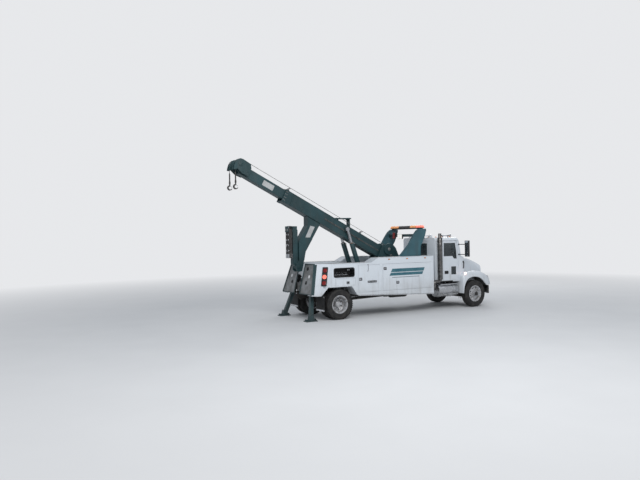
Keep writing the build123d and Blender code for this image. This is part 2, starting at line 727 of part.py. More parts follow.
with BuildPart() as hood_shell:
    add(hood_body(0, 0))
    for name, side in SIDES:
        add(wing(WING_SIDE, 0, side))
    with Locations((-HOOD_WALL, 0, 0)):
        add(hood_body(HOOD_WALL, 300), mode=Mode.SUBTRACT)
    for name, side in SIDES:
        add(wing(WING_INSIDE, HOOD_WALL, side), mode=Mode.SUBTRACT)
        y_low, y_high = pair(HEADLAMP_Y - 150, HEADLAMP_Y + 150, side)
        box_between((WING_FRONT - 200, WING_FRONT + 50), (y_low, y_high), (960, 1150), Mode.SUBTRACT)
    cross_shaft(WHEELBASE, ARCH_CENTRE_Z, ARCH_RADIUS, -1300, 1300, Mode.SUBTRACT)
    cab_side = CAB_HALF_WIDTH + 12
    box_between((WING_REAR - 100, HOOD_REAR), (-cab_side, cab_side), (400, 2000), Mode.SUBTRACT)
    grille_hole = (
        (-GRILLE_HALF_WIDTH, GRILLE_LOW_Z),
        (GRILLE_HALF_WIDTH, GRILLE_LOW_Z),
        (GRILLE_HALF_WIDTH - 40, GRILLE_TOP_Z),
        (40 - GRILLE_HALF_WIDTH, GRILLE_TOP_Z),
    )
    end_slab(grille_hole, HOOD_FRONT - 60, HOOD_FRONT + 1, Mode.SUBTRACT)
    for name, side in SIDES:
        hinge_x, hinge_z = HOOD_HINGE
        y_low, y_high = pair(HINGE_Y - EAR_WIDTH, HINGE_Y - PLAY, side)
        box_between((HOOD_FRONT - HOOD_WALL, hinge_x), (y_low, y_high), (hinge_z - 15, hinge_z + 15))
        cross_shaft(hinge_x, hinge_z, 18, y_low, y_high)
        cross_shaft(hinge_x, hinge_z, HINGE_PIN_RADIUS + BEARING_PLAY, y_low, y_high, Mode.SUBTRACT)
save(hood_shell.part, "hood_shell")

with BuildPart() as grille:
    depth = (GRILLE_BACK, GRILLE_BACK + GRILLE_DEPTH)
    reach = GRILLE_HALF_WIDTH + 10
    box_between(depth, (-reach, reach), (GRILLE_LOW_Z - 15, GRILLE_LOW_Z + 15))
    box_between(depth, (30 - reach, reach - 30), (GRILLE_TOP_Z - 15, GRILLE_TOP_Z + 15))
    with Locations((REAR_AXLE_X + sum(depth) / 2, 0, (GRILLE_LOW_Z + GRILLE_TOP_Z) / 2)):
        with GridLocations(0, BAR_SPACING, 1, BAR_COUNT):
            Box(GRILLE_DEPTH, BAR_WIDTH, GRILLE_TOP_Z - GRILLE_LOW_Z)
save(grille.part, "grille")

LENS_SIDE = (
    (WING_FRONT - 160, 965),
    (WING_FRONT - 5, 965),
    (WING_FRONT - 88, 1146),
    (WING_FRONT - 160, 1146),
)
with BuildPart() as headlamps:
    for name, side in SIDES:
        y_low, y_high = pair(HEADLAMP_Y - 150 + PLAY, HEADLAMP_Y + 150 - PLAY, side)
        side_slab(LENS_SIDE, y_low, y_high)
save(headlamps.part, "headlamps")

# Front bumper with swept ends
BUMPER_FRONT = HOOD_FRONT + 90
BUMPER_REAR = BUMPER_FRONT - 230
BUMPER_LOW_Z = 480
BUMPER_TOP_Z = 785
with BuildPart() as front_bumper:
    plan_slab(
        (
            (BUMPER_REAR, -1190),
            (BUMPER_FRONT - 60, -800),
            (BUMPER_FRONT, -600),
            (BUMPER_FRONT, 600),
            (BUMPER_FRONT - 60, 800),
            (BUMPER_REAR, 1190),
            (BUMPER_REAR - 30, 1150),
            (BUMPER_FRONT - 90, 760),
            (FRAME_FRONT + PLAY, 560),
            (FRAME_FRONT + PLAY, -560),
            (BUMPER_FRONT - 90, -760),
            (BUMPER_REAR - 30, -1150),
        ),
        BUMPER_LOW_Z,
        BUMPER_TOP_Z,
    )
    for name, side in SIDES:
        hinge_x, hinge_z = HOOD_HINGE
        y_low, y_high = pair(HINGE_Y, HINGE_Y + EAR_WIDTH, side)
        box_between((hinge_x - 16, hinge_x + 16), (y_low, y_high), (BUMPER_TOP_Z, hinge_z))
        cross_shaft(hinge_x, hinge_z, 16, y_low, y_high)
        y_low, y_high = pair(HINGE_Y - EAR_WIDTH, HINGE_Y + EAR_WIDTH, side)
        cross_shaft(hinge_x, hinge_z, HINGE_PIN_RADIUS, y_low, y_high)
save(front_bumper.part, "front_bumper")

# Wrecker body: hollow side boxes, tapered at the tail, with compartment doors
TAIL_TOP = (-730, 810, 1830)
TAIL_BOTTOM = (-980, 1050, 850)
CORNER_TOP = (-350, BODY_HALF_WIDTH, 1830)
BOX_SIDE = (
    (-1100, BODY_BOTTOM_Z + 40),
    (-720, BODY_BOTTOM_Z + 40),
    (-450, 1090),
    (450, 1090),
    (660, BODY_BOTTOM_Z),
    (BODY_FRONT, BODY_BOTTOM_Z - 130),
    (BODY_FRONT, HIGH_RAIL_Z),
    (RAMP_FRONT, HIGH_RAIL_Z),
    (RAMP_REAR, LOW_RAIL_Z),
    (-1100, LOW_RAIL_Z),
)
# panel name, rear edge, front edge, bottom, top
COMPARTMENTS = (
    ("mid", 720, 1640, 860, 1780),
    ("front", 1720, BODY_FRONT - 90, 860, 1780),
)
FLAP = (-180, 600, 1110, 1360)
BEAD_RADIUS = 6
DOOR_SKIN = 22
CONTROL_BAY = (-250, 570, 1390, 1710)
BAY_CORNER = 70
BULKHEADS = (-300, 680, 1680)


def tail_plane(inset):
    """The slanted tail face, moved forward by an inset."""
    rise = Vector(TAIL_TOP[0] - TAIL_BOTTOM[0], 0, TAIL_TOP[2] - TAIL_BOTTOM[2]).normalized()
    normal = Vector(0, 1, 0).cross(rise)
    if normal.X < 0:
        normal = -normal
    origin = Vector(REAR_AXLE_X + TAIL_TOP[0], 0, TAIL_TOP[2]) + normal * inset
    return Plane(origin=origin, z_dir=normal)


def corner_plane(side, inset):
    """The slanted rear corner between the tail and the side, moved in by an inset."""
    a = Vector(REAR_AXLE_X + TAIL_TOP[0], side * TAIL_TOP[1], TAIL_TOP[2])
    b = Vector(REAR_AXLE_X + TAIL_BOTTOM[0], side * TAIL_BOTTOM[1], TAIL_BOTTOM[2])
    c = Vector(REAR_AXLE_X + CORNER_TOP[0], side * CORNER_TOP[1], CORNER_TOP[2])
    normal = (b - a).cross(c - a).normalized()
    if normal.X < 0:
        normal = -normal
    return Plane(origin=a + normal * inset, z_dir=normal)


for name, side in SIDES:
    y_low, y_high = pair(BOX_INNER_Y, BODY_HALF_WIDTH, side)
    with BuildPart() as box_outside:
        side_slab(BOX_SIDE, y_low, y_high)
        split(bisect_by=tail_plane(0), keep=Keep.TOP)
        split(bisect_by=corner_plane(side, 0), keep=Keep.TOP)
    with BuildPart() as box_inside:
        side_slab(grown(BOX_SIDE, -BODY_WALL), y_low + BODY_WALL, y_high - BODY_WALL)
        split(bisect_by=tail_plane(BODY_WALL), keep=Keep.TOP)
        split(bisect_by=corner_plane(side, BODY_WALL), keep=Keep.TOP)
        for station in BULKHEADS:
            box_between((station, station + BODY_WALL), (-1300, 1300), (0, 3000), Mode.SUBTRACT)
    with BuildPart() as body_box:
        add(box_outside.part)
        add(box_inside.part, mode=Mode.SUBTRACT)
        wall_low, wall_high = pair(BODY_HALF_WIDTH - 40, BODY_HALF_WIDTH + 10, side)
        for panel, rear, front, low, high in COMPARTMENTS + (("flap",) + FLAP,):
            box_between((rear, front), (wall_low, wall_high), (low, high), Mode.SUBTRACT)
        rear, front, low, high = CONTROL_BAY
        with BuildSketch(side_plane(wall_high)) as bay:
            with Locations(((rear + front) / 2, (low + high) / 2)):
                RectangleRounded(front - rear, high - low, BAY_CORNER)
        extrude(bay.sketch, amount=wall_high - wall_low, mode=Mode.SUBTRACT)
    save(body_box.part, f"body_box_{name}")

    for panel, rear, front, low, high in COMPARTMENTS + (("flap",) + FLAP,):
        with BuildPart() as door:
            skin = pair(BODY_HALF_WIDTH - DOOR_SKIN, BODY_HALF_WIDTH, side)
            bead = BEAD_RADIUS + PLAY
            if panel == "flap":
                box_between((rear + 6, front - 6), skin, (low + PLAY, high - 6))
                with BuildSketch(Plane.YZ.offset(REAR_AXLE_X + rear + 6)):
                    with Locations((side * BODY_HALF_WIDTH, low + bead)):
                        Circle(BEAD_RADIUS)
                extrude(amount=front - rear - 12)
            else:
                box_between((rear + 6, front - PLAY), skin, (low + 6, high - 6))
                post(front - bead, side * BODY_HALF_WIDTH, BEAD_RADIUS, low + 6, high - 6)
        save(door.part, f"{panel}_door_{name}" if panel != "flap" else f"control_flap_{name}")

# Tail panels either side of the slot that the knee arm drops into
TAIL_PANEL = 8
TAIL_SLANT = hypot(TAIL_TOP[0] - TAIL_BOTTOM[0], TAIL_TOP[2] - TAIL_BOTTOM[2])
with BuildPart() as tail_panels:
    outside = tail_plane(-TAIL_PANEL)
    for name, side in SIDES:
        with BuildSketch(Plane(origin=outside.origin, x_dir=(0, 1, 0), z_dir=outside.z_dir)):
            with BuildLine():
                Polyline(
                    (side * SLOT_HALF_WIDTH, 0),
                    (side * TAIL_TOP[1], 0),
                    (side * TAIL_BOTTOM[1], -TAIL_SLANT),
                    (side * SLOT_HALF_WIDTH, -TAIL_SLANT),
                    close=True,
                )
            make_face()
        extrude(amount=TAIL_PANEL - PLAY)
save(tail_panels.part, "tail_panels")

# Mudflaps behind the rear tyres, hung from the arch
MUDFLAP_X = -606
with BuildPart() as mudflaps:
    for name, side in SIDES:
        y_low, y_high = pair(650, 1200, side)
        box_between((MUDFLAP_X, MUDFLAP_X + 10), (y_low, y_high), (300, 800))
        y_low, y_high = pair(BOX_INNER_Y + 10, 1190, side)
        side_slab(
            ((MUDFLAP_X - 8, 700), (MUDFLAP_X, 700), (MUDFLAP_X, 933), (MUDFLAP_X - 8, 925)), y_low, y_high
        )
save(mudflaps.part, "mudflaps")

# Deck between the boxes, on a subframe over the rails
SUBFRAME_Y = 340
DECK_REAR = -470
SUBFRAME_REAR = -560
with BuildPart() as deck:
    plan_slab(
        (
            (DECK_REAR, SLOT_HALF_WIDTH),
            (DECK_REAR, BOX_INNER_Y - PLAY),
            (BODY_FRONT, BOX_INNER_Y - PLAY),
            (BODY_FRONT, -BOX_INNER_Y + PLAY),
            (DECK_REAR, -BOX_INNER_Y + PLAY),
            (DECK_REAR, -SLOT_HALF_WIDTH),
            (-150, -SLOT_HALF_WIDTH),
            (-150, SLOT_HALF_WIDTH),
        ),
        DECK_Z - 8,
        DECK_Z,
    )
    for name, side in SIDES:
        y_low, y_high = pair(SUBFRAME_Y, RAIL_OUTER_Y, side)
        box_between((SUBFRAME_REAR, BODY_FRONT), (y_low, y_high), (RAIL_TOP_Z + PLAY, DECK_Z - 8))
        box_between((FRAME_REAR, SUBFRAME_REAR), (y_low, y_high), (RAIL_TOP_Z + PLAY, 1190))
save(deck.part, "deck")

# Lift cylinders: base and eye places, and their sections
LIFT_Y = 280
LIFT_BASE = (1420, 1460)
LIFT_EYE = (900, 3000)
BARREL_RADIUS = 80
ROD_RADIUS = 48
BARREL_LENGTH = 1130
BARREL_START = 140
EYE_HALF_WIDTH = 30
BASE_EYE_RADIUS = 55
LIFT_PIN_RADIUS = 25

# Mast: two side plates carrying the boom's pivot
MAST_INNER_Y = BOOM_WIDTH / 2 + 60
MAST_PLATE = 30
PIVOT_BOSS = 205
PIVOT_PIN = 60
MAST_SIDE = (
    (1900, DECK_Z + PLAY),
    (3450, DECK_Z + PLAY),
    (3000, 2300),
    (2860, 2440),
    (2460, 2440),
    (2350, 2300),
)
with BuildPart() as mast:
    for name, side in SIDES:
        y_low, y_high = pair(MAST_INNER_Y, MAST_INNER_Y + MAST_PLATE, side)
        side_slab(MAST_SIDE, y_low, y_high)
        y_low, y_high = pair(MAST_INNER_Y, MAST_INNER_Y + MAST_PLATE + 50, side)
        cross_shaft(PIVOT, PIVOT_Z, PIVOT_BOSS, y_low, y_high)
    reach = MAST_INNER_Y + MAST_PLATE
    box_between((3180, 3210), (-reach, reach), (DECK_Z + PLAY, 1900))
    cross_shaft(PIVOT, PIVOT_Z, PIVOT_PIN, -reach, reach)
    box_between((1270, 1570), (-345, 345), (DECK_Z + PLAY, DECK_Z + 20))
    for name, side in SIDES:
        base_x, base_z = LIFT_BASE
        for y in (LIFT_Y - EYE_HALF_WIDTH - PLAY - 20, LIFT_Y + EYE_HALF_WIDTH + PLAY):
            y_low, y_high = pair(y, y + 20, side)
            side_slab(
                (
                    (base_x - 150, DECK_Z + PLAY),
                    (base_x + 150, DECK_Z + PLAY),
                    (base_x + BASE_EYE_RADIUS, base_z),
                    (base_x - BASE_EYE_RADIUS, base_z),
                ),
                y_low,
                y_high,
            )
            cross_shaft(base_x, base_z, BASE_EYE_RADIUS, y_low, y_high)
        pin = EYE_HALF_WIDTH + PLAY + 10
        y_low, y_high = pair(LIFT_Y - pin, LIFT_Y + pin, side)
        cross_shaft(base_x, base_z, LIFT_PIN_RADIUS, y_low, y_high)
save(mast.part, "mast")

# Winches on the deck either side of the mast's tail
DRUM = (2650, 1600)
DRUM_RADIUS = 110
FLANGE_RADIUS = 210
FLANGE = 30
DRUM_INNER_Y = MAST_INNER_Y + MAST_PLATE + 60
DRUM_OUTER_Y = BOX_INNER_Y - 30
STAND_HALF_LENGTH = 170
with BuildPart() as winches:
    drum_x, drum_z = DRUM
    for name, side in SIDES:
        y_low, y_high = pair(DRUM_INNER_Y, DRUM_OUTER_Y, side)
        cross_shaft(drum_x, drum_z, DRUM_RADIUS, y_low, y_high)
        for y in (DRUM_INNER_Y, DRUM_OUTER_Y - FLANGE):
            flange = pair(y, y + FLANGE, side)
            cross_shaft(drum_x, drum_z, FLANGE_RADIUS, flange[0], flange[1])
            stand = (drum_x - STAND_HALF_LENGTH, drum_x + STAND_HALF_LENGTH)
            box_between(stand, flange, (DECK_Z + PLAY, drum_z))
save(winches.part, "winches")

# Light pylons: swept green wings on the side boxes, and the bar across them
PYLON_Y = 850
PYLON_WIDTH = 60
PYLON_TOP_Z = 2985
PYLON_SIDE = (
    (2700, HIGH_RAIL_Z + PLAY),
    (3650, HIGH_RAIL_Z + PLAY),
    (3670, 2370),
    (3770, 2530),
    (3870, 2750),
    (3925, 2920),
    (3915, PYLON_TOP_Z),
    (3590, PYLON_TOP_Z),
    (3490, 2915),
    (3400, 2820),
    (3270, 2640),
    (3130, 2430),
    (2910, 2210),
)
with BuildPart() as light_pylons:
    for name, side in SIDES:
        y_low, y_high = pair(PYLON_Y - PYLON_WIDTH / 2, PYLON_Y + PYLON_WIDTH / 2, side)
        side_slab(PYLON_SIDE, y_low, y_high)
save(light_pylons.part, "light_pylons")

# Light bar on a stand across the pylons, and the lamp rail between them
BAR_REAR = 3595
BAR_FRONT = 3875
BAR_HALF_LENGTH = PYLON_Y + PYLON_WIDTH / 2 - 20
BAR_Z = PYLON_TOP_Z + 20
BAR_HEIGHT = 110
RAIL_REAR = 3500
LAMP_RAIL_Z = 2700
with BuildPart() as light_bar:
    box_between((BAR_REAR, BAR_FRONT), (-BAR_HALF_LENGTH, BAR_HALF_LENGTH), (BAR_Z, BAR_Z + BAR_HEIGHT))
    box_between((BAR_REAR + 60, BAR_FRONT - 60), (-PYLON_Y, PYLON_Y), (PYLON_TOP_Z + PLAY, BAR_Z))
    reach = PYLON_Y - PYLON_WIDTH / 2 - PLAY
    box_between((RAIL_REAR, RAIL_REAR + 80), (-reach, reach), (LAMP_RAIL_Z, LAMP_RAIL_Z + 100))
save(light_bar.part, "light_bar")

# Boom. Along the boom the first number runs from the pivot to the head and the second
# up from the line of its top edge.
BOOM_PLANE = Plane(
    origin=(REAR_AXLE_X + PIVOT, 0, PIVOT_Z),
    x_dir=(-cos(radians(BOOM_ANGLE)), 0, sin(radians(BOOM_ANGLE))),
    z_dir=(0, 1, 0),
)


def boom_slab(outline, y_low, y_high, mode=Mode.ADD):
    """An outline on the boom's own axes carried across from y_low to y_high."""
    with BuildSketch(BOOM_PLANE.offset(y_low)) as profile:
        with BuildLine():
            Polyline(*outline, close=True)
        make_face()
    extrude(profile.sketch, amount=y_high - y_low, mode=mode)


def boom_pin(along, up, radius, y_low, y_high, mode=Mode.ADD):
    """A round bar across the boom."""
    with BuildSketch(BOOM_PLANE.offset(y_low)) as profile:
        with Locations((along, up)):
            Circle(radius)
    extrude(profile.sketch, amount=y_high - y_low, mode=mode)


def on_boom(along, up):
    """A place on the boom as (ahead of the rear axle, height)."""
    turn = radians(BOOM_ANGLE)
    return (
        PIVOT - along * cos(turn) + up * sin(turn),
        PIVOT_Z + along * sin(turn) + up * cos(turn),
    )


def off_boom(x, z):
    """A side-view place as (along the boom, up from its top edge)."""
    turn = radians(BOOM_ANGLE)
    dx, dz = x - PIVOT, z - PIVOT_Z
    return -dx * cos(turn) + dz * sin(turn), dx * sin(turn) + dz * cos(turn)


def boom_top(x):
    """Height of the boom's top edge at a station."""
    return PIVOT_Z + (PIVOT - x) * tan(radians(BOOM_ANGLE))


BRACKET_Z = 3400
KNEE_FOOT = (-975, 1740)
KNEE_PIN_RADIUS = 40
with BuildPart() as boom_outer:
    half = BOOM_WIDTH / 2
    boom_slab(((120, 0), (BOOM_LENGTH, 0), (BOOM_LENGTH, -BOOM_DEPTH), (120, -BOOM_DEPTH)), -half, half)
    boom_pin(0, 0, 170, -half, half)
    boom_slab(((0, -170), (0, 120), (400, 0), (400, -BOOM_DEPTH), (120, -BOOM_DEPTH)), -half, half)
    boom_slab(
        (
            (300, -BOOM_WALL),
            (BOOM_LENGTH + 1, -BOOM_WALL),
            (BOOM_LENGTH + 1, BOOM_WALL - BOOM_DEPTH),
            (300, BOOM_WALL - BOOM_DEPTH),
        ),
        BOOM_WALL - half,
        half - BOOM_WALL,
        Mode.SUBTRACT,
    )
    boom_pin(0, 0, PIVOT_PIN + BEARING_PLAY, -half - 1, half + 1, Mode.SUBTRACT)
    along, up = off_boom(*LIFT_EYE)
    lug_y = LIFT_Y - ROD_RADIUS - MOVE_GAP
    boom_pin(along, up, 90, -lug_y, -half)
    boom_pin(along, up, 90, half, lug_y)
    bracket = ((450, BRACKET_Z - 25), (1180, BRACKET_Z - 25), (1180, BRACKET_Z), (450, BRACKET_Z))
    side_slab(bracket, -110, 110)
    for station in (640, 1120):
        leg = [(station + reach, boom_top(station + reach) - 6) for reach in (-20, 20)]
        side_slab(leg + [(station + 20, BRACKET_Z - 20), (station - 20, BRACKET_Z - 20)], -90, 90)
save(boom_outer.part, "boom_outer")

# Knee arm: the box that hangs square from the boom and carries the underlift
KNEE_HALF_WIDTH = 150
KNEE_TOP_FRONT = on_boom(2890, -BOOM_DEPTH - PLAY)
KNEE_TOP_REAR = on_boom(3440, -BOOM_DEPTH - PLAY)
KNEE_SIDE = (
    KNEE_TOP_FRONT,
    KNEE_TOP_REAR,
    (-600, 3140),
    (-880, 2700),
    (-950, 2560),
    (-950, 1960),
    (-1060, 1840),
    (-1060, 1640),
    (-980, 1580),
    (-840, 1600),
    (-760, 1960),
    (-700, 2250),
    (-420, 2700),
)
FORK_HALF_WIDTH = 100
with BuildPart() as knee_arm:
    side_slab(KNEE_SIDE, -KNEE_HALF_WIDTH, KNEE_HALF_WIDTH)
    box_between((-1100, -880), (-FORK_HALF_WIDTH, FORK_HALF_WIDTH), (1560, 1955), Mode.SUBTRACT)
    cross_shaft(KNEE_FOOT[0], KNEE_FOOT[1], KNEE_PIN_RADIUS, -KNEE_HALF_WIDTH, KNEE_HALF_WIDTH)
save(knee_arm.part, "knee_arm")

# Telescoping inner boom and its head
with BuildPart() as boom_inner:
    half = INNER_WIDTH / 2
    top = -BOOM_WALL - 20
    boom_slab(
        (
            (2900, top),
            (HEAD_START + 250, top),
            (HEAD_START + 250, top - INNER_DEPTH),
            (2900, top - INNER_DEPTH),
        ),
        -half,
        half,
    )
    boom_slab(
        (
            (2899, top - 10),
            (HEAD_START, top - 10),
            (HEAD_START, top + 10 - INNER_DEPTH),
            (2899, top + 10 - INNER_DEPTH),
        ),
        10 - half,
        half - 10,
        Mode.SUBTRACT,
    )
    pad = BOOM_WALL - BOOM_DEPTH + PLAY
    boom_slab(((2900, top - INNER_DEPTH), (3100, top - INNER_DEPTH), (3100, pad), (2900, pad)), -half, half)
    boom_slab(((2900, top), (3100, top), (3100, -BOOM_WALL - PLAY), (2900, -BOOM_WALL - PLAY)), -half, half)
save(boom_inner.part, "boom_inner")

SHEAVE = (6385, -80)
SHEAVE_RADIUS = 165
SHEAVE_WIDTH = 60
ROPE_Y = 255
HEAD_PLATE_WIDTH = 20
HEAD_GAP = 10
HEAD_PIN_RADIUS = 40
HEAD_SIDE = (
    (6085, 75),
    (6385, 90),
    (6470, 70),
    (6530, 20),
    (6560, -50),
    (6568, -140),
    (6555, -240),
    (6525, -345),
    (6470, -330),
    (6420, -270),
    (6340, -300),
    (6215, -335),
    (HEAD_START, -310),
    (HEAD_START, -60),
)
with BuildPart() as boom_head:
    outer_y = ROPE_Y + SHEAVE_WIDTH / 2 + HEAD_GAP
    for name, side in SIDES:
        for y in (INNER_WIDTH / 2 + PLAY, outer_y):
            y_low, y_high = pair(y, y + HEAD_PLATE_WIDTH, side)
            boom_slab(HEAD_SIDE, y_low, y_high)
        y_low, y_high = pair(ROPE_Y - SHEAVE_WIDTH / 2, ROPE_Y + SHEAVE_WIDTH / 2, side)
        boom_pin(SHEAVE[0], SHEAVE[1], SHEAVE_RADIUS, y_low, y_high)
    reach = outer_y + HEAD_PLATE_WIDTH + 5
    boom_pin(SHEAVE[0], SHEAVE[1], HEAD_PIN_RADIUS, -reach, reach)
save(boom_head.part, "boom_head")

# Hooks on the ends of the winch lines, each with its throat toward the truck
HOOK_LINE = 8
SOCKET_RADIUS = 26
SOCKET_Z = 4500
EYE_Z = 4370
EYE_RADIUS = 95
THROAT_RADIUS = 55
HOOK_THICK = 36
head_x, head_z = on_boom(*SHEAVE)
line_x = head_x - SHEAVE_RADIUS - HOOK_LINE - PLAY
for name, side in SIDES:
    with BuildPart() as hook:
        y = side * ROPE_Y
        post(line_x, y, HOOK_LINE, SOCKET_Z + 80, head_z)
        post(line_x, y, SOCKET_RADIUS, SOCKET_Z, SOCKET_Z + 100)
        with BuildSketch(side_plane(y + HOOK_THICK / 2)) as hook_side:
            with Locations((line_x, EYE_Z)):
                Circle(EYE_RADIUS)
                Circle(THROAT_RADIUS, mode=Mode.SUBTRACT)
            with Locations((line_x + 75, EYE_Z + 50)):
                Rectangle(80, 90, mode=Mode.SUBTRACT)
            with Locations((line_x, SOCKET_Z - 20)):
                Rectangle(40, 60)
        extrude(hook_side.sketch, amount=HOOK_THICK)
    save(hook.part, f"hook_{name}")

# Lift cylinders between the mast's foot and the boom's sides
LIFT_ANGLE = degrees(atan2(LIFT_EYE[1] - LIFT_BASE[1], LIFT_EYE[0] - LIFT_BASE[0]))
LIFT_LENGTH = hypot(LIFT_EYE[1] - LIFT_BASE[1], LIFT_EYE[0] - LIFT_BASE[0])
LIFT_PLANE = Plane(
    origin=(REAR_AXLE_X + LIFT_BASE[0], 0, LIFT_BASE[1]),
    x_dir=(0, 1, 0),
    z_dir=(cos(radians(LIFT_ANGLE)), 0, sin(radians(LIFT_ANGLE))),
)
with BuildPart() as lift_barrels:
    for name, side in SIDES:
        y_low, y_high = pair(LIFT_Y - EYE_HALF_WIDTH, LIFT_Y + EYE_HALF_WIDTH, side)
        cross_shaft(LIFT_BASE[0], LIFT_BASE[1], BASE_EYE_RADIUS, y_low, y_high)
        with BuildSketch(LIFT_PLANE):
            with Locations((side * LIFT_Y, 0)):
                Rectangle(2 * EYE_HALF_WIDTH, 90)
        extrude(amount=BARREL_START + 5)
        with BuildSketch(LIFT_PLANE.offset(BARREL_START)):
            with Locations((side * LIFT_Y, 0)):
                Circle(BARREL_RADIUS)
        extrude(amount=BARREL_LENGTH - BARREL_START)
        cross_shaft(LIFT_BASE[0], LIFT_BASE[1], LIFT_PIN_RADIUS + BEARING_PLAY, y_low, y_high, Mode.SUBTRACT)
        with BuildSketch(LIFT_PLANE.offset(BARREL_START + 60)):
            with Locations((side * LIFT_Y, 0)):
                Circle(ROD_RADIUS + BEARING_PLAY)
        extrude(amount=BARREL_LENGTH, mode=Mode.SUBTRACT)
save(lift_barrels.part, "lift_barrels")

ROD_START = 600
with BuildPart() as lift_rods:
    for name, side in SIDES:
        with BuildSketch(LIFT_PLANE.offset(ROD_START)):
            with Locations((side * LIFT_Y, 0)):
                Circle(ROD_RADIUS)
        extrude(amount=LIFT_LENGTH - ROD_START)
        y_low, y_high = pair(LIFT_Y - 34, LIFT_Y + 34, side)
        cross_shaft(LIFT_EYE[0], LIFT_EYE[1], 75, y_low, y_high)
save(lift_rods.part, "lift_rods")

# Underlift: a telescoping stinger folded up behind the knee arm
STINGER_REAR = -1150
STINGER_FRONT = -965
STINGER_HALF_WIDTH = 92
STINGER_LOW = 1850
STINGER_TOP = 3000
STINGER_WALL = 12
with BuildPart() as stinger_outer:
    foot_x, foot_z = KNEE_FOOT
    half = STINGER_HALF_WIDTH
    box_between((STINGER_REAR, STINGER_FRONT), (-half, half), (STINGER_LOW, STINGER_TOP))
    box_between(
        (STINGER_REAR + STINGER_WALL, STINGER_FRONT - STINGER_WALL),
        (STINGER_WALL - half, half - STINGER_WALL),
        (STINGER_LOW + 200, STINGER_TOP + 1),
        Mode.SUBTRACT,
    )
    heel = (
        (STINGER_REAR, STINGER_LOW),
        (STINGER_FRONT, STINGER_LOW),
        (foot_x + 60, foot_z),
        (foot_x - 60, foot_z),
    )
    side_slab(heel, -half, half)
    cross_shaft(foot_x, foot_z, 75, -half, half)
    cross_shaft(foot_x, foot_z, KNEE_PIN_RADIUS + BEARING_PLAY, -half, half, Mode.SUBTRACT)
save(stinger_outer.part, "stinger_outer")

HEAD_LOW = 2925
HEAD_TOP = 3120
HEAD_PLATE = 16
ARM_REAR = -1310
ARM_FRONT = -1190
ARM_Y = 70
ARM_HALF_WIDTH = 55
ARM_PIN_Z = 3000
ARM_PIN_RADIUS = 24
with BuildPart() as stinger_inner:
    inset = STINGER_WALL + PLAY
    half = STINGER_HALF_WIDTH - inset
    box_between((STINGER_REAR + inset, STINGER_FRONT - inset), (-half, half), (2200, HEAD_TOP))
    reach = ARM_Y + ARM_HALF_WIDTH
    box_between((ARM_FRONT + 5, ARM_FRONT + 5 + HEAD_PLATE), (-reach, reach), (HEAD_LOW, HEAD_TOP))
    box_between((ARM_REAR - 5 - HEAD_PLATE, ARM_REAR - 5), (-reach, reach), (HEAD_LOW, HEAD_TOP))
    box_between(
        (ARM_REAR - 5 - HEAD_PLATE, STINGER_REAR + 20), (-reach, reach), (HEAD_TOP - HEAD_PLATE, HEAD_TOP)
    )
    for name, side in SIDES:
        with BuildSketch(Plane.YZ.offset(REAR_AXLE_X + ARM_REAR - 10)):
            with Locations((side * ARM_Y, ARM_PIN_Z)):
                Circle(ARM_PIN_RADIUS)
        extrude(amount=ARM_FRONT - ARM_REAR + 20)
save(stinger_inner.part, "stinger_inner")

# Crossbar: two arms on the stinger's head, folded down beside each other
ARM_LOW = 2050
SOCKET_HEIGHT = 130
for name, side in SIDES:
    with BuildPart() as crossbar_arm:
        y_low, y_high = pair(ARM_Y - ARM_HALF_WIDTH, ARM_Y + ARM_HALF_WIDTH, side)
        box_between((ARM_REAR, ARM_FRONT), (y_low, y_high), (ARM_LOW, ARM_PIN_Z))
        with BuildSketch(Plane.YZ.offset(REAR_AXLE_X + ARM_REAR)):
            with Locations((side * ARM_Y, ARM_PIN_Z)):
                Circle(ARM_HALF_WIDTH)
        extrude(amount=ARM_FRONT - ARM_REAR)
        with BuildSketch(Plane.YZ.offset(REAR_AXLE_X + ARM_REAR - 1)):
            with Locations((side * ARM_Y, ARM_PIN_Z)):
                Circle(ARM_PIN_RADIUS + BEARING_PLAY)
        extrude(amount=ARM_FRONT - ARM_REAR + 2, mode=Mode.SUBTRACT)
        box_between(
            (ARM_REAR + 20, ARM_FRONT - 20),
            (y_low + 15, y_high - 15),
            (ARM_LOW - 1, ARM_LOW + SOCKET_HEIGHT),
            Mode.SUBTRACT,
        )
    save(crossbar_arm.part, f"crossbar_arm_{name}")

# Spades: splayed sleeves on the tail with legs that slide down to the ground
SPADE_TOP = (-634, 431, 1500)
SPADE_FOOT = (-1000, 980, 0)
SPADE_LEG = 120
SLEEVE_WALL = 10
SLEEVE_BORE = SPADE_LEG + 2 * PLAY
SLEEVE_START = 930
SLEEVE_LENGTH = 650
SPADE_HALF_LENGTH = 200


def spade_plane(side, along):
    """Square section plane of a spade leg, a distance up from its foot."""
    foot = Vector(REAR_AXLE_X + SPADE_FOOT[0], side * SPADE_FOOT[1], SPADE_FOOT[2])
    top = Vector(REAR_AXLE_X + SPADE_TOP[0], side * SPADE_TOP[1], SPADE_TOP[2])
    rise = (top - foot).normalized()
    across = Vector(0, 1, 0) - rise * rise.Y
    return Plane(origin=foot + rise * along, x_dir=across.normalized(), z_dir=rise)


with BuildPart() as spade_sleeves:
    for name, side in SIDES:
        with BuildSketch(spade_plane(side, SLEEVE_START)):
            Rectangle(SLEEVE_BORE + 2 * SLEEVE_WALL, SLEEVE_BORE + 2 * SLEEVE_WALL)
        extrude(amount=SLEEVE_LENGTH)
        y_low, y_high = pair(RAIL_OUTER_Y + PLAY, 600, side)
        box_between((FRAME_REAR, FRAME_REAR + 90), (y_low, y_high), (980, 1180))
        with BuildSketch(spade_plane(side, SLEEVE_START - 200)):
            Rectangle(SLEEVE_BORE, SLEEVE_BORE)
        extrude(amount=SLEEVE_LENGTH + 400, mode=Mode.SUBTRACT)
save(spade_sleeves.part, "spade_sleeves")

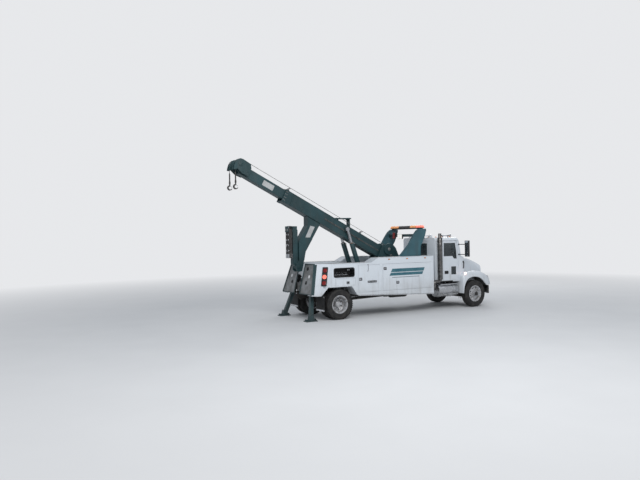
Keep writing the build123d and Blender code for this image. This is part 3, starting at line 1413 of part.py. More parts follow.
for name, side in SIDES:
    with BuildPart() as spade:
        with BuildSketch(spade_plane(side, 60)):
            Rectangle(SPADE_LEG, SPADE_LEG)
        extrude(amount=1190)
        foot_x = SPADE_FOOT[0]
        y_low, y_high = pair(SPADE_FOOT[1] - 130, SPADE_FOOT[1] + 110, side)
        box_between((foot_x - SPADE_HALF_LENGTH, foot_x + SPADE_HALF_LENGTH), (y_low, y_high), (0, 30))
        shoe = ((foot_x - 90, 20), (foot_x + 100, 20), (foot_x + 110, 200), (foot_x - 40, 200))
        side_slab(shoe, y_low + 40, y_high - 40)
    save(spade.part, f"spade_{name}")
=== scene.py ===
import math
import bmesh
import bpy
from mathutils import Matrix, Vector


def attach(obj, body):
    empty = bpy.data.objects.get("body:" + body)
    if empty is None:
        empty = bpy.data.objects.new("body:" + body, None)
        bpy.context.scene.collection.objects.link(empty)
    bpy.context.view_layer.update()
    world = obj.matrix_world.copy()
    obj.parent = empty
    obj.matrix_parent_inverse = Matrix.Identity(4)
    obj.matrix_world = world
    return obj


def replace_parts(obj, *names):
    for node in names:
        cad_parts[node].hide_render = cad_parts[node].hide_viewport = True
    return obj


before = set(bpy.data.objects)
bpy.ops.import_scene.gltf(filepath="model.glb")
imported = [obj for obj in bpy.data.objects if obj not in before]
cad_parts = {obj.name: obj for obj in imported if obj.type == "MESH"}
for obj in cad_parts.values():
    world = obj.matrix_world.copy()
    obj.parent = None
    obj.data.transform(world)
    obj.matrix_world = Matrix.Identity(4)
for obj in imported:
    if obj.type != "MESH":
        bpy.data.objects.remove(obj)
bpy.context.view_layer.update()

# The yard: a plain pale floor under a soft grey sky, seen from behind the truck's right
# side at a person's height. The floor is a large slab; two broad lamps soften the sky.
REAR_AXLE = -1.8131
BACKDROP = (0.80, 0.81, 0.83)
yard = bpy.context.scene


class Signal:
    """A value on a shader socket. Sums on it add Math nodes."""

    def __init__(self, shading, socket):
        self.shading = shading
        self.socket = socket

    def work(self, operation, first, second=0.0):
        return self.shading.node("ShaderNodeMath", {"operation": operation}, {0: first, 1: second})

    def __add__(self, other):
        return self.work("ADD", self, other)

    def __sub__(self, other):
        return self.work("SUBTRACT", self, other)

    def __rsub__(self, other):
        return self.work("SUBTRACT", other, self)

    def __mul__(self, other):
        return self.work("MULTIPLY", self, other)

    def __pow__(self, other):
        return self.work("POWER", self, other)

    def __mod__(self, other):
        return self.work("FLOORED_MODULO", self, other)

    __radd__ = __add__

    def size(self):
        return self.work("ABSOLUTE", self)

    def between(self, low, high):
        """0 below one level, 1 above the other, and a slope between."""
        levels = {"Value": self, "From Min": low, "From Max": high}
        return self.shading.node("ShaderNodeMapRange", {"clamp": True}, levels)


class Shading:
    """The nodes of a finish or of the sky."""

    def __init__(self, tree):
        self.tree = tree

    def node(self, kind, settings, sockets, output=0):
        """Adds a node: its settings first, then the values or links of its sockets."""
        made = self.tree.nodes.new(kind)
        for key, value in settings.items():
            setattr(made, key, value)
        for key, value in sockets.items():
            socket = made.inputs[key]
            if isinstance(value, Signal):
                self.tree.links.new(value.socket, socket)
            else:
                socket.default_value = (*value, 1.0) if socket.type == "RGBA" else value
        return Signal(self, made.outputs[output])

    def show(self, output, signal):
        self.tree.links.new(signal.socket, self.tree.nodes[output].inputs["Surface"])


class Paint(Shading):
    """One finish: the slot it stands for, its steady values, and wear drawn in nodes."""

    def __init__(self, name, slot, **steady):
        self.material = bpy.data.materials.new(name)
        self.material.use_nodes = True
        super().__init__(self.material.node_tree)
        self.slot = slot
        self.shader = self.tree.nodes["Principled BSDF"]
        for socket, value in steady.items():
            self.shader.inputs[socket.replace("_", " ")].default_value = value

    def spot(self):
        """The piece's own coordinates in metres."""
        return self.node("ShaderNodeTexCoord", {}, {}, "Object")

    def axes(self):
        """The piece's own X, Y and Z as three values."""
        spot = self.spot()
        return [self.node("ShaderNodeSeparateXYZ", {}, {0: spot}, index) for index in range(3)]

    def place(self, stretch=(1, 1, 1)):
        return self.node("ShaderNodeMapping", {}, {"Vector": self.spot(), "Scale": stretch})

    def clouds(self, scale, detail=4.0, stretch=(1, 1, 1)):
        """Soft random patches from 0 to 1."""
        sockets = {"Vector": self.place(stretch), "Scale": scale, "Detail": detail}
        return self.node("ShaderNodeTexNoise", {}, sockets)

    def specks(self, scale):
        """Distance to scattered points, for grain, chips and pitting."""
        return self.node("ShaderNodeTexVoronoi", {}, {"Vector": self.place(), "Scale": scale}, "Distance")

    def blend(self, share, first, second):
        """Two colours mixed by a value."""
        return self.node("ShaderNodeMix", {"data_type": "RGBA"}, {0: share, 6: first, 7: second}, 2)

    def apply(self, **sockets):
        for key, value in sockets.items():
            self.tree.links.new(value.socket, self.shader.inputs[key.replace("_", " ")])
        return self

    def relief(self, height, depth):
        """Small form seen in the light: a height in metres of the given depth."""
        sockets = {"Height": height, "Distance": depth, "Strength": 1.0}
        return self.apply(Normal=self.node("ShaderNodeBump", {}, sockets))


def put(name, data):
    """A new object in the scene."""
    made = bpy.data.objects.new(name, data)
    yard.collection.objects.link(made)
    return made


def sky_light():
    """A grey sky for the light, and plain pale for what the camera and clear parts see."""
    yard.world = bpy.data.worlds.new("sky")
    yard.world.use_nodes = True
    sky = Shading(yard.world.node_tree)
    grey = sky.tree.nodes["Background"]
    grey.inputs["Color"].default_value = (0.80, 0.84, 0.90, 1.0)
    grey.inputs["Strength"].default_value = 0.62
    pale = sky.node("ShaderNodeBackground", {}, {"Color": BACKDROP})
    direct = sky.node("ShaderNodeLightPath", {}, {}, "Is Camera Ray")
    through = sky.node("ShaderNodeLightPath", {}, {}, "Is Transmission Ray")
    choice = {0: direct.work("MAXIMUM", direct, through), 1: Signal(sky, grey.outputs[0]), 2: pale}
    sky.show("World Output", sky.node("ShaderNodeMixShader", {}, choice))


def pale_floor():
    """Concrete near the truck that goes over into the backdrop's colour farther off."""
    paint = Paint("pale_floor", None, Roughness=0.85, Specular_IOR_Level=0.1)
    paint.apply(Base_Color=paint.blend(paint.clouds(0.7, 8), (0.60, 0.61, 0.62), (0.66, 0.67, 0.68)))
    x, y, z = paint.axes()
    far = ((x * x + y * y) ** 0.5).between(8.0, 26.0)
    seen = far * paint.node("ShaderNodeLightPath", {}, {}, "Is Camera Ray")
    backdrop = paint.node("ShaderNodeEmission", {}, {"Color": BACKDROP})
    choice = {0: seen, 1: Signal(paint, paint.shader.outputs[0]), 2: backdrop}
    paint.show("Material Output", paint.node("ShaderNodeMixShader", {}, choice))
    return paint


def lamp(name, place, towards, across, power):
    """A broad soft lamp."""
    data = bpy.data.lights.new(name, "AREA")
    data.size = across
    data.energy = power
    made = put(name, data)
    made.location = place
    made.rotation_euler = (Vector(towards) - Vector(place)).to_track_quat("-Z", "Y").to_euler()


sky_light()
slab = bpy.data.meshes.new("yard_floor")
slab.from_pydata([(-90, -90, 0), (90, -90, 0), (90, 90, 0), (-90, 90, 0)], [], [(0, 1, 2, 3)])
slab.materials.append(pale_floor().material)
yard_floor = put("yard_floor", slab)
lamp("key_lamp", (-6, -13, 12), (0, 0, 1.2), 9.0, 1500)
lamp("fill_lamp", (12, 9, 10), (0, 0, 1.5), 9.0, 700)

# The camera stands where the photograph was taken. Its focal length is 600 of the frame's
# 640 pixels, its place is given from the rear axle, and it leans a little to one side.
STAND = Vector((REAR_AXLE - 10.337, -18.057, 2.675))
YAW, PITCH, ROLL = (math.radians(turn) for turn in (60.323, -0.097, -1.003))
camera_data = bpy.data.cameras.new("camera")
camera_data.sensor_width = 36.0
camera_data.lens = camera_data.sensor_width * 600 / 640
camera_data.clip_end = 400.0
yard.camera = put("camera", camera_data)
ahead = Vector((math.cos(PITCH) * math.cos(YAW), math.cos(PITCH) * math.sin(YAW), math.sin(PITCH)))
level = Vector((math.sin(YAW), -math.cos(YAW), 0.0))
upright = level.cross(ahead)
right = math.cos(ROLL) * level + math.sin(ROLL) * upright
above = -math.sin(ROLL) * level + math.cos(ROLL) * upright
turned_to = Matrix((right, above, -ahead)).transposed().to_4x4()
yard.camera.matrix_world = Matrix.Translation(STAND) @ turned_to
yard.view_settings.view_transform = "Standard"

# Frame: two long channel rails in satin black, with spring hangers, bolted joints, air tanks
# between them and a dusting of road dirt that is thickest low down.
TRUCK = Matrix.Translation((REAR_AXLE, 0, 0))
FRONT_AXLE, RAIL_FACE = 6.043, 0.430
AHEAD, BACK, OUT, UP = (1, 0, 0), (-1, 0, 0), (0, 1, 0), (0, 0, 1)


def round_edges(piece, width, angle, segments=2):
    """Rounds the edges sharper than an angle, where a highlight should run."""
    rounding = piece.modifiers.new("rounded edges", "BEVEL")
    rounding.width = width
    rounding.segments = segments
    rounding.limit_method = "ANGLE"
    rounding.angle_limit = math.radians(angle)
    rounding.harden_normals = True


def smooth_object(mesh, name, paint):
    """Turns a collected mesh into an object of one finish."""
    data = bpy.data.meshes.new(name)
    mesh.to_mesh(data)
    mesh.free()
    data.shade_smooth()
    data.materials.append(paint.material)
    return put(name, data)


class Fabrication:
    """Collects the plates, bars and turned parts of one piece into a single mesh.

    Y is reckoned outward from the truck's middle, on the side that sides() has in hand.
    """

    side = 1

    def __init__(self, axes=TRUCK, side=None):
        self.mesh = bmesh.new()
        self.axes = axes
        if side:
            self.side = side

    def outward(self, point):
        x, y, z = point
        return Vector((x, y * self.side, z))

    def skin(self, corners, faces):
        made = [self.mesh.verts.new(self.axes @ corner) for corner in corners]
        for face in faces:
            self.mesh.faces.new([made[index] for index in face])

    def faces(self, corners, faces):
        self.skin([self.outward(corner) for corner in corners], faces)

    def carried(self, outline, low, high, across):
        """An outline's corners at two levels."""
        order = {"y": (0, 2, 1), "z": (0, 1, 2), "x": (2, 0, 1)}[across]
        return [[(*spot, end)[index] for index in order] for end in (low, high) for spot in outline]

    def prism(self, outline, low, high, across="y"):
        """A flat outline carried across from one level to another."""
        count = len(outline)
        faces = [tuple(range(count)), tuple(range(count, 2 * count))]
        faces += [(i, (i + 1) % count, (i + 1) % count + count, i + count) for i in range(count)]
        self.faces(self.carried(outline, low, high, across), faces)

    def ring(self, outside, inside, low, high, across="y"):
        """A frame between two loops of equally many corners, carried between two levels."""
        count = len(outside)
        faces = []
        for i in range(count):
            j = (i + 1) % count
            for a, b in ((0, count), (2 * count, 3 * count)):
                faces.append((a + i, a + j, b + j, b + i))
            for a in (0, count):
                faces.append((a + i, a + j, a + j + 2 * count, a + i + 2 * count))
        self.faces(self.carried([*outside, *inside], low, high, across), faces)

    def block(self, x, y, z):
        self.prism(((x[0], y[0]), (x[1], y[0]), (x[1], y[1]), (x[0], y[1])), *z, "z")

    def turned(self, outline, place, along=OUT, steps=32):
        """An outline of (distance along, radius) turned about a line."""
        along, place = self.outward(along).normalized(), self.outward(place)
        side = along.orthogonal().normalized()
        rise = along.cross(side)
        corners, rings, faces = [], [], []
        for reach, radius in outline:
            count = steps if radius else 1
            rings.append((len(corners), count))
            for across, up in around(steps, radius)[:count]:
                corners.append(place + along * reach + side * across + rise * up)
        for (first, count), (second, following) in zip(rings, rings[1:]):
            for index in range(steps):
                a, b = first + index % count, first + (index + 1) % count
                c, d = second + (index + 1) % following, second + index % following
                faces.append(tuple(dict.fromkeys((a, b, c, d))))
        for start, count in (rings[0], rings[-1]):
            if count > 1 and outline[0] != outline[-1]:
                faces.append(tuple(range(start, start + count)))
        self.skin(corners, faces)

    def bar(self, start, end, radius, sides=20, tip=None):
        """A round bar or a cone between two points."""
        reach = Vector(end) - Vector(start)
        ends = ((0, radius), (reach.length, radius if tip is None else tip))
        self.turned(ends, start, reach, sides)

    def pipe(self, points, radius, sides=10, runs=6):
        """A bent pipe that runs smoothly through its points."""
        points = [self.outward(point) for point in points]
        last = len(points) - 1
        path = []
        for index in range(last):
            before, start = points[max(index - 1, 0)], points[index]
            end, after = points[index + 1], points[min(index + 2, last)]
            for step in range(runs + (index == last - 1)):
                t = step / runs
                bend = (2 * before - 5 * start + 4 * end - after) * t * t
                twist = (3 * start - before - 3 * end + after) * t ** 3
                path.append(0.5 * (2 * start + (end - before) * t + bend + twist))
        side = (path[1] - path[0]).orthogonal().normalized()
        corners = []
        for index, point in enumerate(path):
            heading = (path[min(index + 1, len(path) - 1)] - path[max(index - 1, 0)]).normalized()
            side = (side - heading * side.dot(heading)).normalized()
            rise = heading.cross(side)
            corners += [point + side * across + rise * up for across, up in around(sides, radius)]
        faces = [tuple(range(sides)), tuple(range(len(corners) - sides, len(corners)))]
        for start in range(0, len(corners) - sides, sides):
            for turn in range(sides):
                a, b = start + turn, start + (turn + 1) % sides
                faces.append((a, b, b + sides, a + sides))
        self.skin(corners, faces)

    def bolts(self, places, along=OUT, across=0.022):
        """Hexagon heads on their washers."""
        heading = Vector(along).normalized()
        washer = ((-0.002, 0.62 * across), (0.16 * across, 0.62 * across))
        head = ((0, 0.5 * across), (0.48 * across, 0.5 * across), (0.56 * across, 0.4 * across))
        for place in places:
            self.turned(washer, place, heading, 12)
            self.turned(head, Vector(place) + heading * 0.14 * across, heading, 6)

    def fit(self, name, paint, edge=0.0, body="chassis", slot=None, segments=2):
        """Makes the object, rounds its edges and fixes it to its body."""
        bmesh.ops.recalc_face_normals(self.mesh, faces=self.mesh.faces)
        piece = smooth_object(self.mesh, name, paint)
        piece.data.set_sharp_from_angle(angle=math.radians(38))
        if edge:
            round_edges(piece, edge, 40, segments)
        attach(piece, body)
        return piece


def sides():
    """The right side, then the left: what is made meanwhile is made on that side."""
    for name, Fabrication.side in (("right", -1), ("left", 1)):
        yield name


def works(count, *axes):
    """Several fabrications at once."""
    return [Fabrication(*axes) for index in range(count)]


def dress(paint, *nodes, edge=0.0):
    """Gives CAD nodes their finish, and rounds their edges where a highlight should run."""
    for name in nodes:
        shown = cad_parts[name]
        shown.data.materials.clear()
        shown.data.materials.append(paint.material)
        if edge:
            weld = shown.modifiers.new("joined skin", "WELD")
            weld.merge_threshold = 0.0002
            round_edges(shown, edge, 35)


def around(count, radius, start=0.0):
    """Places on a circle as (across, up)."""
    turns = [start + 2 * math.pi * index / count for index in range(count)]
    return [(radius * math.cos(turn), radius * math.sin(turn)) for turn in turns]


def evenly(*half):
    """An outline that is the same both ways from its middle."""
    return [*half, *((-reach, radius) for reach, radius in reversed(half) if reach)]


def chassis_black():
    paint = Paint("chassis_black", "frame_black", Specular_IOR_Level=0.4)
    height = paint.axes()[2]
    dust = paint.clouds(3.0, 8) * (1 - height.between(0.3, 1.3)) + paint.clouds(22.0, 5) * 0.35
    colour = paint.blend(dust.between(0.25, 0.95), (0.016, 0.017, 0.019), (0.10, 0.092, 0.08))
    paint.apply(Base_Color=colour, Roughness=0.42 + dust.between(0.1, 0.9) * 0.4)
    return paint.relief(paint.clouds(60.0, 6), 0.0012)


frame_paint = chassis_black()
dress(frame_paint, "frame_rails", "rear_axle", "drive_shaft", "front_axle", edge=0.003)
dress(frame_paint, "leaf_springs", "knuckle_right", "knuckle_left", edge=0.002)
rail_work, under = works(2)
for name in sides():
    for x in (-0.66, -0.18, 0.40, 0.70, 1.60, 2.40, 3.20, 3.90, 4.40, 5.30, 6.10, 6.55):
        joint = [(x + dx, RAIL_FACE, z) for dx in (-0.04, 0.04) for z in (0.72, 0.82)]
        rail_work.bolts(joint, across=0.024)
    # each spring's two hangers, and its U bolts under a clamp plate
    for station, seat, reach in ((0.0, 0.567, 0.64), (FRONT_AXLE, 0.420, 0.62)):
        for x in (station - reach, station + reach):
            hanger = ((x - 0.05, 0.64), (x + 0.05, 0.64), (x + 0.025, 0.595), (x - 0.025, 0.595))
            rail_work.prism(hanger, 0.350, 0.429)
            rail_work.bar((x, 0.344, 0.612), (x, 0.435, 0.612), 0.014)
        for x in (station - 0.075, station + 0.075):
            for y in (0.343, 0.433):
                rail_work.bar((x, y, seat - 0.15), (x, y, seat + 0.10), 0.010, 10)
            rail_work.bar((x, 0.343, seat + 0.078), (x, 0.433, seat + 0.078), 0.010, 10)
        rail_work.block((station - 0.10, station + 0.10), (0.335, 0.441), (seat + 0.064, seat + 0.074))
    # air tank with its straps, then the brake chambers behind and in front
    air_tank = evenly((-0.42, 0), (-0.41, 0.06), (-0.38, 0.10), (-0.34, 0.118))
    under.turned(air_tank, (3.10, 0.19, 0.60), AHEAD, 36)
    for x in (2.86, 3.34):
        under.turned(evenly((-0.018, 0.121)), (x, 0.19, 0.60), AHEAD, 36)
        under.block((x - 0.018, x + 0.018), (0.17, 0.21), (0.70, 0.79))
    rear_chamber = (
        (0, 0.03), (0.02, 0.085), (0.08, 0.088), (0.10, 0.082),
        (0.12, 0.088), (0.17, 0.085), (0.19, 0.05), (0.20, 0),
    )
    under.turned(rear_chamber, (0.10, 0.50, 0.53), (1, 0, 0.25), 28)
    front_chamber = (
        (0, 0.03), (0.02, 0.075), (0.07, 0.078), (0.09, 0.072), (0.11, 0.078), (0.15, 0.075), (0.17, 0)
    )
    under.turned(front_chamber, (5.80, 0.525, 0.56), (-1, 0, 0.1), 28)
for x, z, heading in ((0.375, 0.505, (1, 0, 0.03)), (4.60, 0.642, (-1, 0, -0.03))):
    under.turned(((0, 0.062), (0.04, 0.062), (0.06, 0.050), (0.13, 0.046)), (x, 0, z), heading, 20)
rail_work.fit("rail_fittings", frame_paint, 0.0015)
under.fit("air_tanks_and_brakes", frame_paint, 0.002)

# Engine: iron castings darkened by grease, with a lid, a sump, turned ports, a pulley and a
# fan; in front of it stands the radiator, a finned core between two black tanks.


def weathered(name, slot, clean, dirty, patches, rough, grain=None, **steady):
    """A finish that goes from clean to dirty in soft patches, with a fine grain."""
    paint = Paint(name, slot, **steady)
    scale, detail, low, high = patches
    wear = paint.clouds(scale, detail).between(low, high)
    paint.apply(Base_Color=paint.blend(wear, clean, dirty), Roughness=rough[0] + wear * rough[1])
    if grain:
        scale, detail, depth = grain
        paint.relief(paint.clouds(scale, detail) if detail else paint.specks(scale), depth)
    return paint


iron_paint = weathered(
    "cast_iron", "engine_grey", (0.17, 0.165, 0.16), (0.035, 0.032, 0.03),
    (6.0, 8, 0.35, 0.75), (0.75, -0.3), (220.0, None, 0.0015), Metallic=0.25,
)
dress(iron_paint, "engine_block", edge=0.012)
PULLEY_Z = 0.95
power, radiator = works(2)
for name in sides():
    for x in (5.85, 6.02, 6.19, 6.36):
        power.turned(((0, 0.075), (0.03, 0.075), (0.04, 0.05), (0.05, 0)), (x, 0.289, 1.12), OUT, 24)
power.turned(((0, 0.19), (0.05, 0.19), (0.055, 0.12), (0.06, 0.12)), (6.56, 0, PULLEY_Z), AHEAD, 40)
for blade in range(8):
    angle = 2 * math.pi * blade / 8
    corners = []
    for x, radius, lean in ((6.575, 0.05, 0.0), (6.6, 0.05, 0.5), (6.615, 0.27, 0.42), (6.58, 0.27, 0.1)):
        turn = angle + lean
        corners.append((x, radius * math.cos(turn), PULLEY_Z + radius * math.sin(turn)))
    power.faces(corners, [(0, 1, 2, 3)])
power.block((5.72, 6.54), (-0.21, 0.21), (1.299, 1.36))
power.bolts([(x, y, 1.36) for x in (5.80, 6.0, 6.2, 6.4) for y in (-0.17, 0.17)], UP, 0.02)
power.block((5.72, 6.52), (-0.20, 0.20), (0.56, 0.662))
power.fit("engine_castings", iron_paint, 0.004)
radiator.block((6.625, 6.685), (-0.36, 0.36), (0.76, 1.40))
for index in range(54):
    z = 0.775 + index * 0.0115
    radiator.block((6.684, 6.694), (-0.34, 0.34), (z, z + 0.004))
for y in (-0.37, 0.37):
    radiator.block((6.615, 6.70), (y - 0.012, y + 0.012), (0.72, 1.41))
radiator.fit("radiator", frame_paint, 0.001)

# Tyres: black rubber carcasses with moulded sidewall rings, four-rib steering treads in
# front and block drive treads behind. They replace the plain turned tyres of the frame.
TYRE, BLOCKS = 0.505, 44
SIDEWALL = (
    (0.103, 0.288), (0.104, 0.309), (0.112, 0.318), (0.114, 0.322), (0.118, 0.325), (0.121, 0.345),
    (0.1235, 0.352), (0.1235, 0.356), (0.1225, 0.360), (0.124, 0.385), (0.1245, 0.405), (0.122, 0.428),
    (0.1235, 0.431), (0.1235, 0.440), (0.119, 0.443), (0.116, 0.468), (0.108, 0.478),
)
BLOCK_ROWS = ((-0.116, -0.070, 0.0), (-0.060, -0.006, 0.5), (0.006, 0.060, 0.0), (0.070, 0.116, 0.5))
tyre_paint = weathered(
    "tyre_rubber", "tyre_rubber", (0.012, 0.012, 0.013), (0.052, 0.049, 0.045),
    (9.0, 8, 0.35, 0.8), (0.62, 0.3), (160.0, 4, 0.0008), Specular_IOR_Level=0.35,
)


def carcass(work, centre, crown):
    outline = evenly(*SIDEWALL, *crown)
    work.turned([*outline, outline[0]], centre, OUT, 72)


def ribbed_tyre(work, centre):
    """A steering tyre: ribs all round, with grooves down to the bed between them."""
    bed = 0.491
    crown = [(0.104, 0.493), (0.098, 0.499)]
    for outer, inner in ((0.098, 0.064), (0.054, 0.012)):
        crown += [(reach, TYRE - 0.002 - reach * 0.03) for reach in (outer, inner)] + [(inner, bed)]
        if inner > 0.02:
            crown += [(0.054, bed)]
    carcass(work, centre, crown)


def block_tyre(work, centre):
    """A driving tyre: staggered blocks with open shoulders."""
    bed = 0.487
    carcass(work, centre, [(0.100, bed)])
    wide = 0.70 * math.pi / BLOCKS
    for index in range(BLOCKS):
        for low, high, shift in BLOCK_ROWS:
            turn = 2 * math.pi * (index + shift) / BLOCKS
            foot = (
                (turn - wide, low), (turn + wide, low + 0.004),
                (turn + wide, high), (turn - wide, high - 0.004),
            )
            corners = []
            for radius in (bed - 0.014, TYRE - 0.0012):
                for angle, y in foot:
                    r = radius - (0.010 if abs(y) > 0.10 and radius > bed else 0.0)
                    corners.append(Vector(centre) + Vector((r * math.cos(angle), y, r * math.sin(angle))))
            faces = [(0, 1, 2, 3), (4, 5, 6, 7), (0, 1, 5, 4), (1, 2, 6, 5), (2, 3, 7, 6), (3, 0, 4, 7)]
            work.faces(corners, faces)


for name in sides():
    side = Fabrication.side
    steering, driving = works(2, TRUCK, 1)
    ribbed_tyre(steering, (FRONT_AXLE, side * 1.045, TYRE))
    piece = steering.fit(f"steer_tyre_{name}", tyre_paint, body=f"front_wheel_{name}")
    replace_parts(piece, f"front_tyre_{name}")
    for y in (1.075, 0.735):
        block_tyre(driving, (0, side * y, TYRE))
    piece = driving.fit(f"drive_tyres_{name}", tyre_paint, body=f"rear_wheels_{name}")
    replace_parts(piece, f"rear_tyres_{name}")

# Disc wheels: pressed steel painted silver, held by ten flanged nuts on studs; oil-bath
# caps on the front hubs and bolted axle flanges behind, with brake dust round the nuts.
wheel_paint = weathered(
    "wheel_silver", "wheel_silver", (0.60, 0.61, 0.63), (0.20, 0.18, 0.16),
    (14.0, 8, 0.42, 0.72), (0.34, 0.35), (90.0, 5, 0.0005), Metallic=0.55,
)
# also used for the dark discs and quads in holes and slots, which are painted shade
hub_and_opening_shade_paint = weathered(
    "oily_hub_and_opening_shade", "frame_black", (0.06, 0.058, 0.056), (0.018, 0.016, 0.015),
    (30.0, 6, 0.35, 0.7), (0.55, -0.2), Metallic=0.4,
)
OIL_CAP = (
    (0.1575, 0.072), (0.160, 0.080), (0.166, 0.080), (0.168, 0.066), (0.186, 0.062),
    (0.196, 0.054), (0.198, 0.030), (0.192, 0.028), (0.192, 0),
)
FLANGE = ((0.1575, 0.066), (0.159, 0.084), (0.170, 0.084), (0.173, 0.040), (0.180, 0.036), (0.180, 0))


def wheel_nuts(work, x, y, circle, lip, nut, stud):
    """Ten flanged nuts on their studs."""
    for across, up in around(10, circle):
        place = (x + across, y, TYRE + up)
        work.turned(((0, 0.021), (0.004, 0.021), (0.006, lip)), place, OUT, 12)
        work.turned(((0.004, 0.0165), (nut, 0.0165), (nut + 0.003, 0.013)), place, OUT, 6)
        work.turned(((nut, 0.010), (stud, 0.010), (stud + 0.002, 0.008)), place, OUT, 10)


for name in sides():
    dress(wheel_paint, f"front_rim_{name}", f"rear_rims_{name}")
    front_body, rear_body = f"front_wheel_{name}", f"rear_wheels_{name}"
    front, cap, rear, flange = works(4)
    wheel_nuts(front, FRONT_AXLE, 1.1195, 0.118, 0.016, 0.026, 0.040)
    front.bar((6.243, 1.097, TYRE), (6.258, 1.130, TYRE), 0.005, 8)
    front.fit(f"front_nuts_{name}", wheel_paint, body=front_body)
    cap.turned(OIL_CAP, (FRONT_AXLE, 1.045, TYRE))
    ring = around(6, 0.073, 0.3)
    cap.bolts([(FRONT_AXLE + across, 1.211, TYRE + up) for across, up in ring], across=0.014)
    cap.fit(f"oil_cap_{name}", hub_and_opening_shade_paint, 0.0008, front_body)
    wheel_nuts(rear, 0, 0.9155, 0.146, 0.0165, 0.028, 0.044)
    rear.bar((0.222, 1.0, TYRE), (0.232, 1.075, TYRE), 0.005, 8)
    rear.fit(f"rear_nuts_{name}", wheel_paint, body=rear_body)
    flange.turned(FLANGE, (0, 0.905, TYRE))
    flange.bolts([(across, 1.075, TYRE + up) for across, up in around(8, 0.070)], across=0.018)
    flange.fit(f"axle_flange_{name}", wheel_paint, 0.0008, rear_body)

# Fuel tanks: polished aluminium drums under the cab doors, hung in strapped brackets, with
# turned filler caps and two steps each: a chequered lower one, and an upper one in plain
# black that is painted shade under the cab's edge.
TANK_Y, TANK_Z = 0.695, 0.690


def polished_aluminium():
    paint = Paint("polished_aluminium", "tank_aluminium", Metallic=0.92)
    streak = paint.clouds(26.0, 6, (0.15, 1.0, 1.0))
    haze = paint.clouds(5.0, 8).between(0.4, 0.8)
    colour = paint.blend(haze, (0.66, 0.67, 0.69), (0.42, 0.42, 0.42))
    paint.apply(Base_Color=colour, Roughness=0.16 + haze * 0.28 + streak * 0.10)
    return paint.relief(streak, 0.0006)


def tread_plate(name, light, dark, metal):
    """Chequer plate: raised bars laid alternately both ways."""
    paint = Paint(name, "tank_aluminium", Metallic=metal)
    x, y, z = paint.axes()
    flat_x, flat_y = x * 28.0, y * 28.0
    cell_x, cell_y = flat_x % 1.0 - 0.5, flat_y % 1.0 - 0.5
    lean = ((flat_x - flat_x % 1.0) + (flat_y - flat_y % 1.0)) % 2.0
    rising, falling = (cell_x + cell_y).size(), (cell_x - cell_y).size()
    one, two = rising * 3.2 + falling * 1.1, falling * 3.2 + rising * 1.1
    bar = 1 - (lean * one + (1 - lean) * two).between(0.35, 0.75)
    grime = paint.clouds(7.0, 8).between(0.35, 0.75)
    colour = paint.blend(grime * (1 - bar * 0.7), light, dark)
    paint.apply(Base_Color=colour, Roughness=0.44 + grime * 0.20 - bar * 0.08)
    return paint.relief(bar, 0.0022)


tank_paint = polished_aluminium()
plate_paint = tread_plate("tread_plate", (0.62, 0.63, 0.64), (0.20, 0.20, 0.19), 0.85)
dress(tank_paint, "fuel_tanks", edge=0.008)
tanks, straps, treads, shaded_top_steps = works(4)
for name in sides():
    for x, heading in ((4.470, BACK), (5.400, AHEAD)):
        tanks.turned(((-0.006, 0.2515), (0.004, 0.2515), (0.006, 0.246)), (x, TANK_Y, TANK_Z), heading, 48)
    filler = ((0.24, 0.045), (0.275, 0.045), (0.28, 0.06), (0.305, 0.06), (0.308, 0.04), (0.308, 0))
    tanks.turned(filler, (4.62, TANK_Y, TANK_Z), (0, 0.55, 0.83), 24)
    for x in (4.70, 5.20):
        straps.turned(evenly((-0.026, 0.2525), (-0.026, 0.2565)), (x, TANK_Y, TANK_Z), AHEAD, 48)
        straps.block((x - 0.03, x + 0.03), (0.432, 0.46), (0.46, 0.94))
        straps.bolts([(x, 0.46, 0.50), (x, 0.46, 0.90)], across=0.02)
    # the upper step is chassis black, painted shade under the cab's edge; the lower one is chequer plate
    for step, inner, outer, z in ((shaded_top_steps, 0.79, 0.965, 0.925), (treads, 0.82, 0.971, 0.545)):
        step.block((4.52, 5.35), (inner, outer), (z - 0.004, z + 0.006))
        step.block((4.52, 5.35), (0.962, 0.969), (z - 0.035, z + 0.006))
    for x in (4.56, 5.31):
        bracket = ((0.80, 0.545), (0.965, 0.545), (0.90, 0.66), (0.89, 0.66))
        treads.prism(bracket, x - 0.006, x + 0.006, "x")
tanks.fit("tank_ends_and_caps", tank_paint, 0.0015)
straps.fit("tank_straps", tank_paint, 0.0012)
treads.fit("tank_steps", plate_paint, 0.0015)
shaded_top_steps.fit("tank_top_steps_painted_shade", frame_paint, 0.0015)

# Exhaust: a straight upright stack with a plain cut end, inside a slotted heat shield that
# two brackets hold to the cab's rear corner. Road film dulls the metal, heat browns its top.
# The shield's slots are flat dark quads: painted shade for openings that are not cut.
STACK_X, STACK_Y, SHIELD = 4.435, -1.045, 0.090


def plated(name, bright, film, burnt):
    """Chromed or plain bright metal under a film of smoke, browned by heat near the top."""
    paint = Paint(name, "rod_chrome", Metallic=1.0)
    heat = paint.axes()[2].between(2.35, 2.75) * paint.clouds(7.0, 4).between(0.2, 0.8)
    smoke = paint.clouds(12.0, 8).between(0.45, 0.8)
    warm = paint.blend(heat, bright, burnt)
    paint.apply(Base_Color=paint.blend(smoke, warm, film), Roughness=0.14 + smoke * 0.32)
    return paint.relief(paint.clouds(40.0, 4), 0.0004)


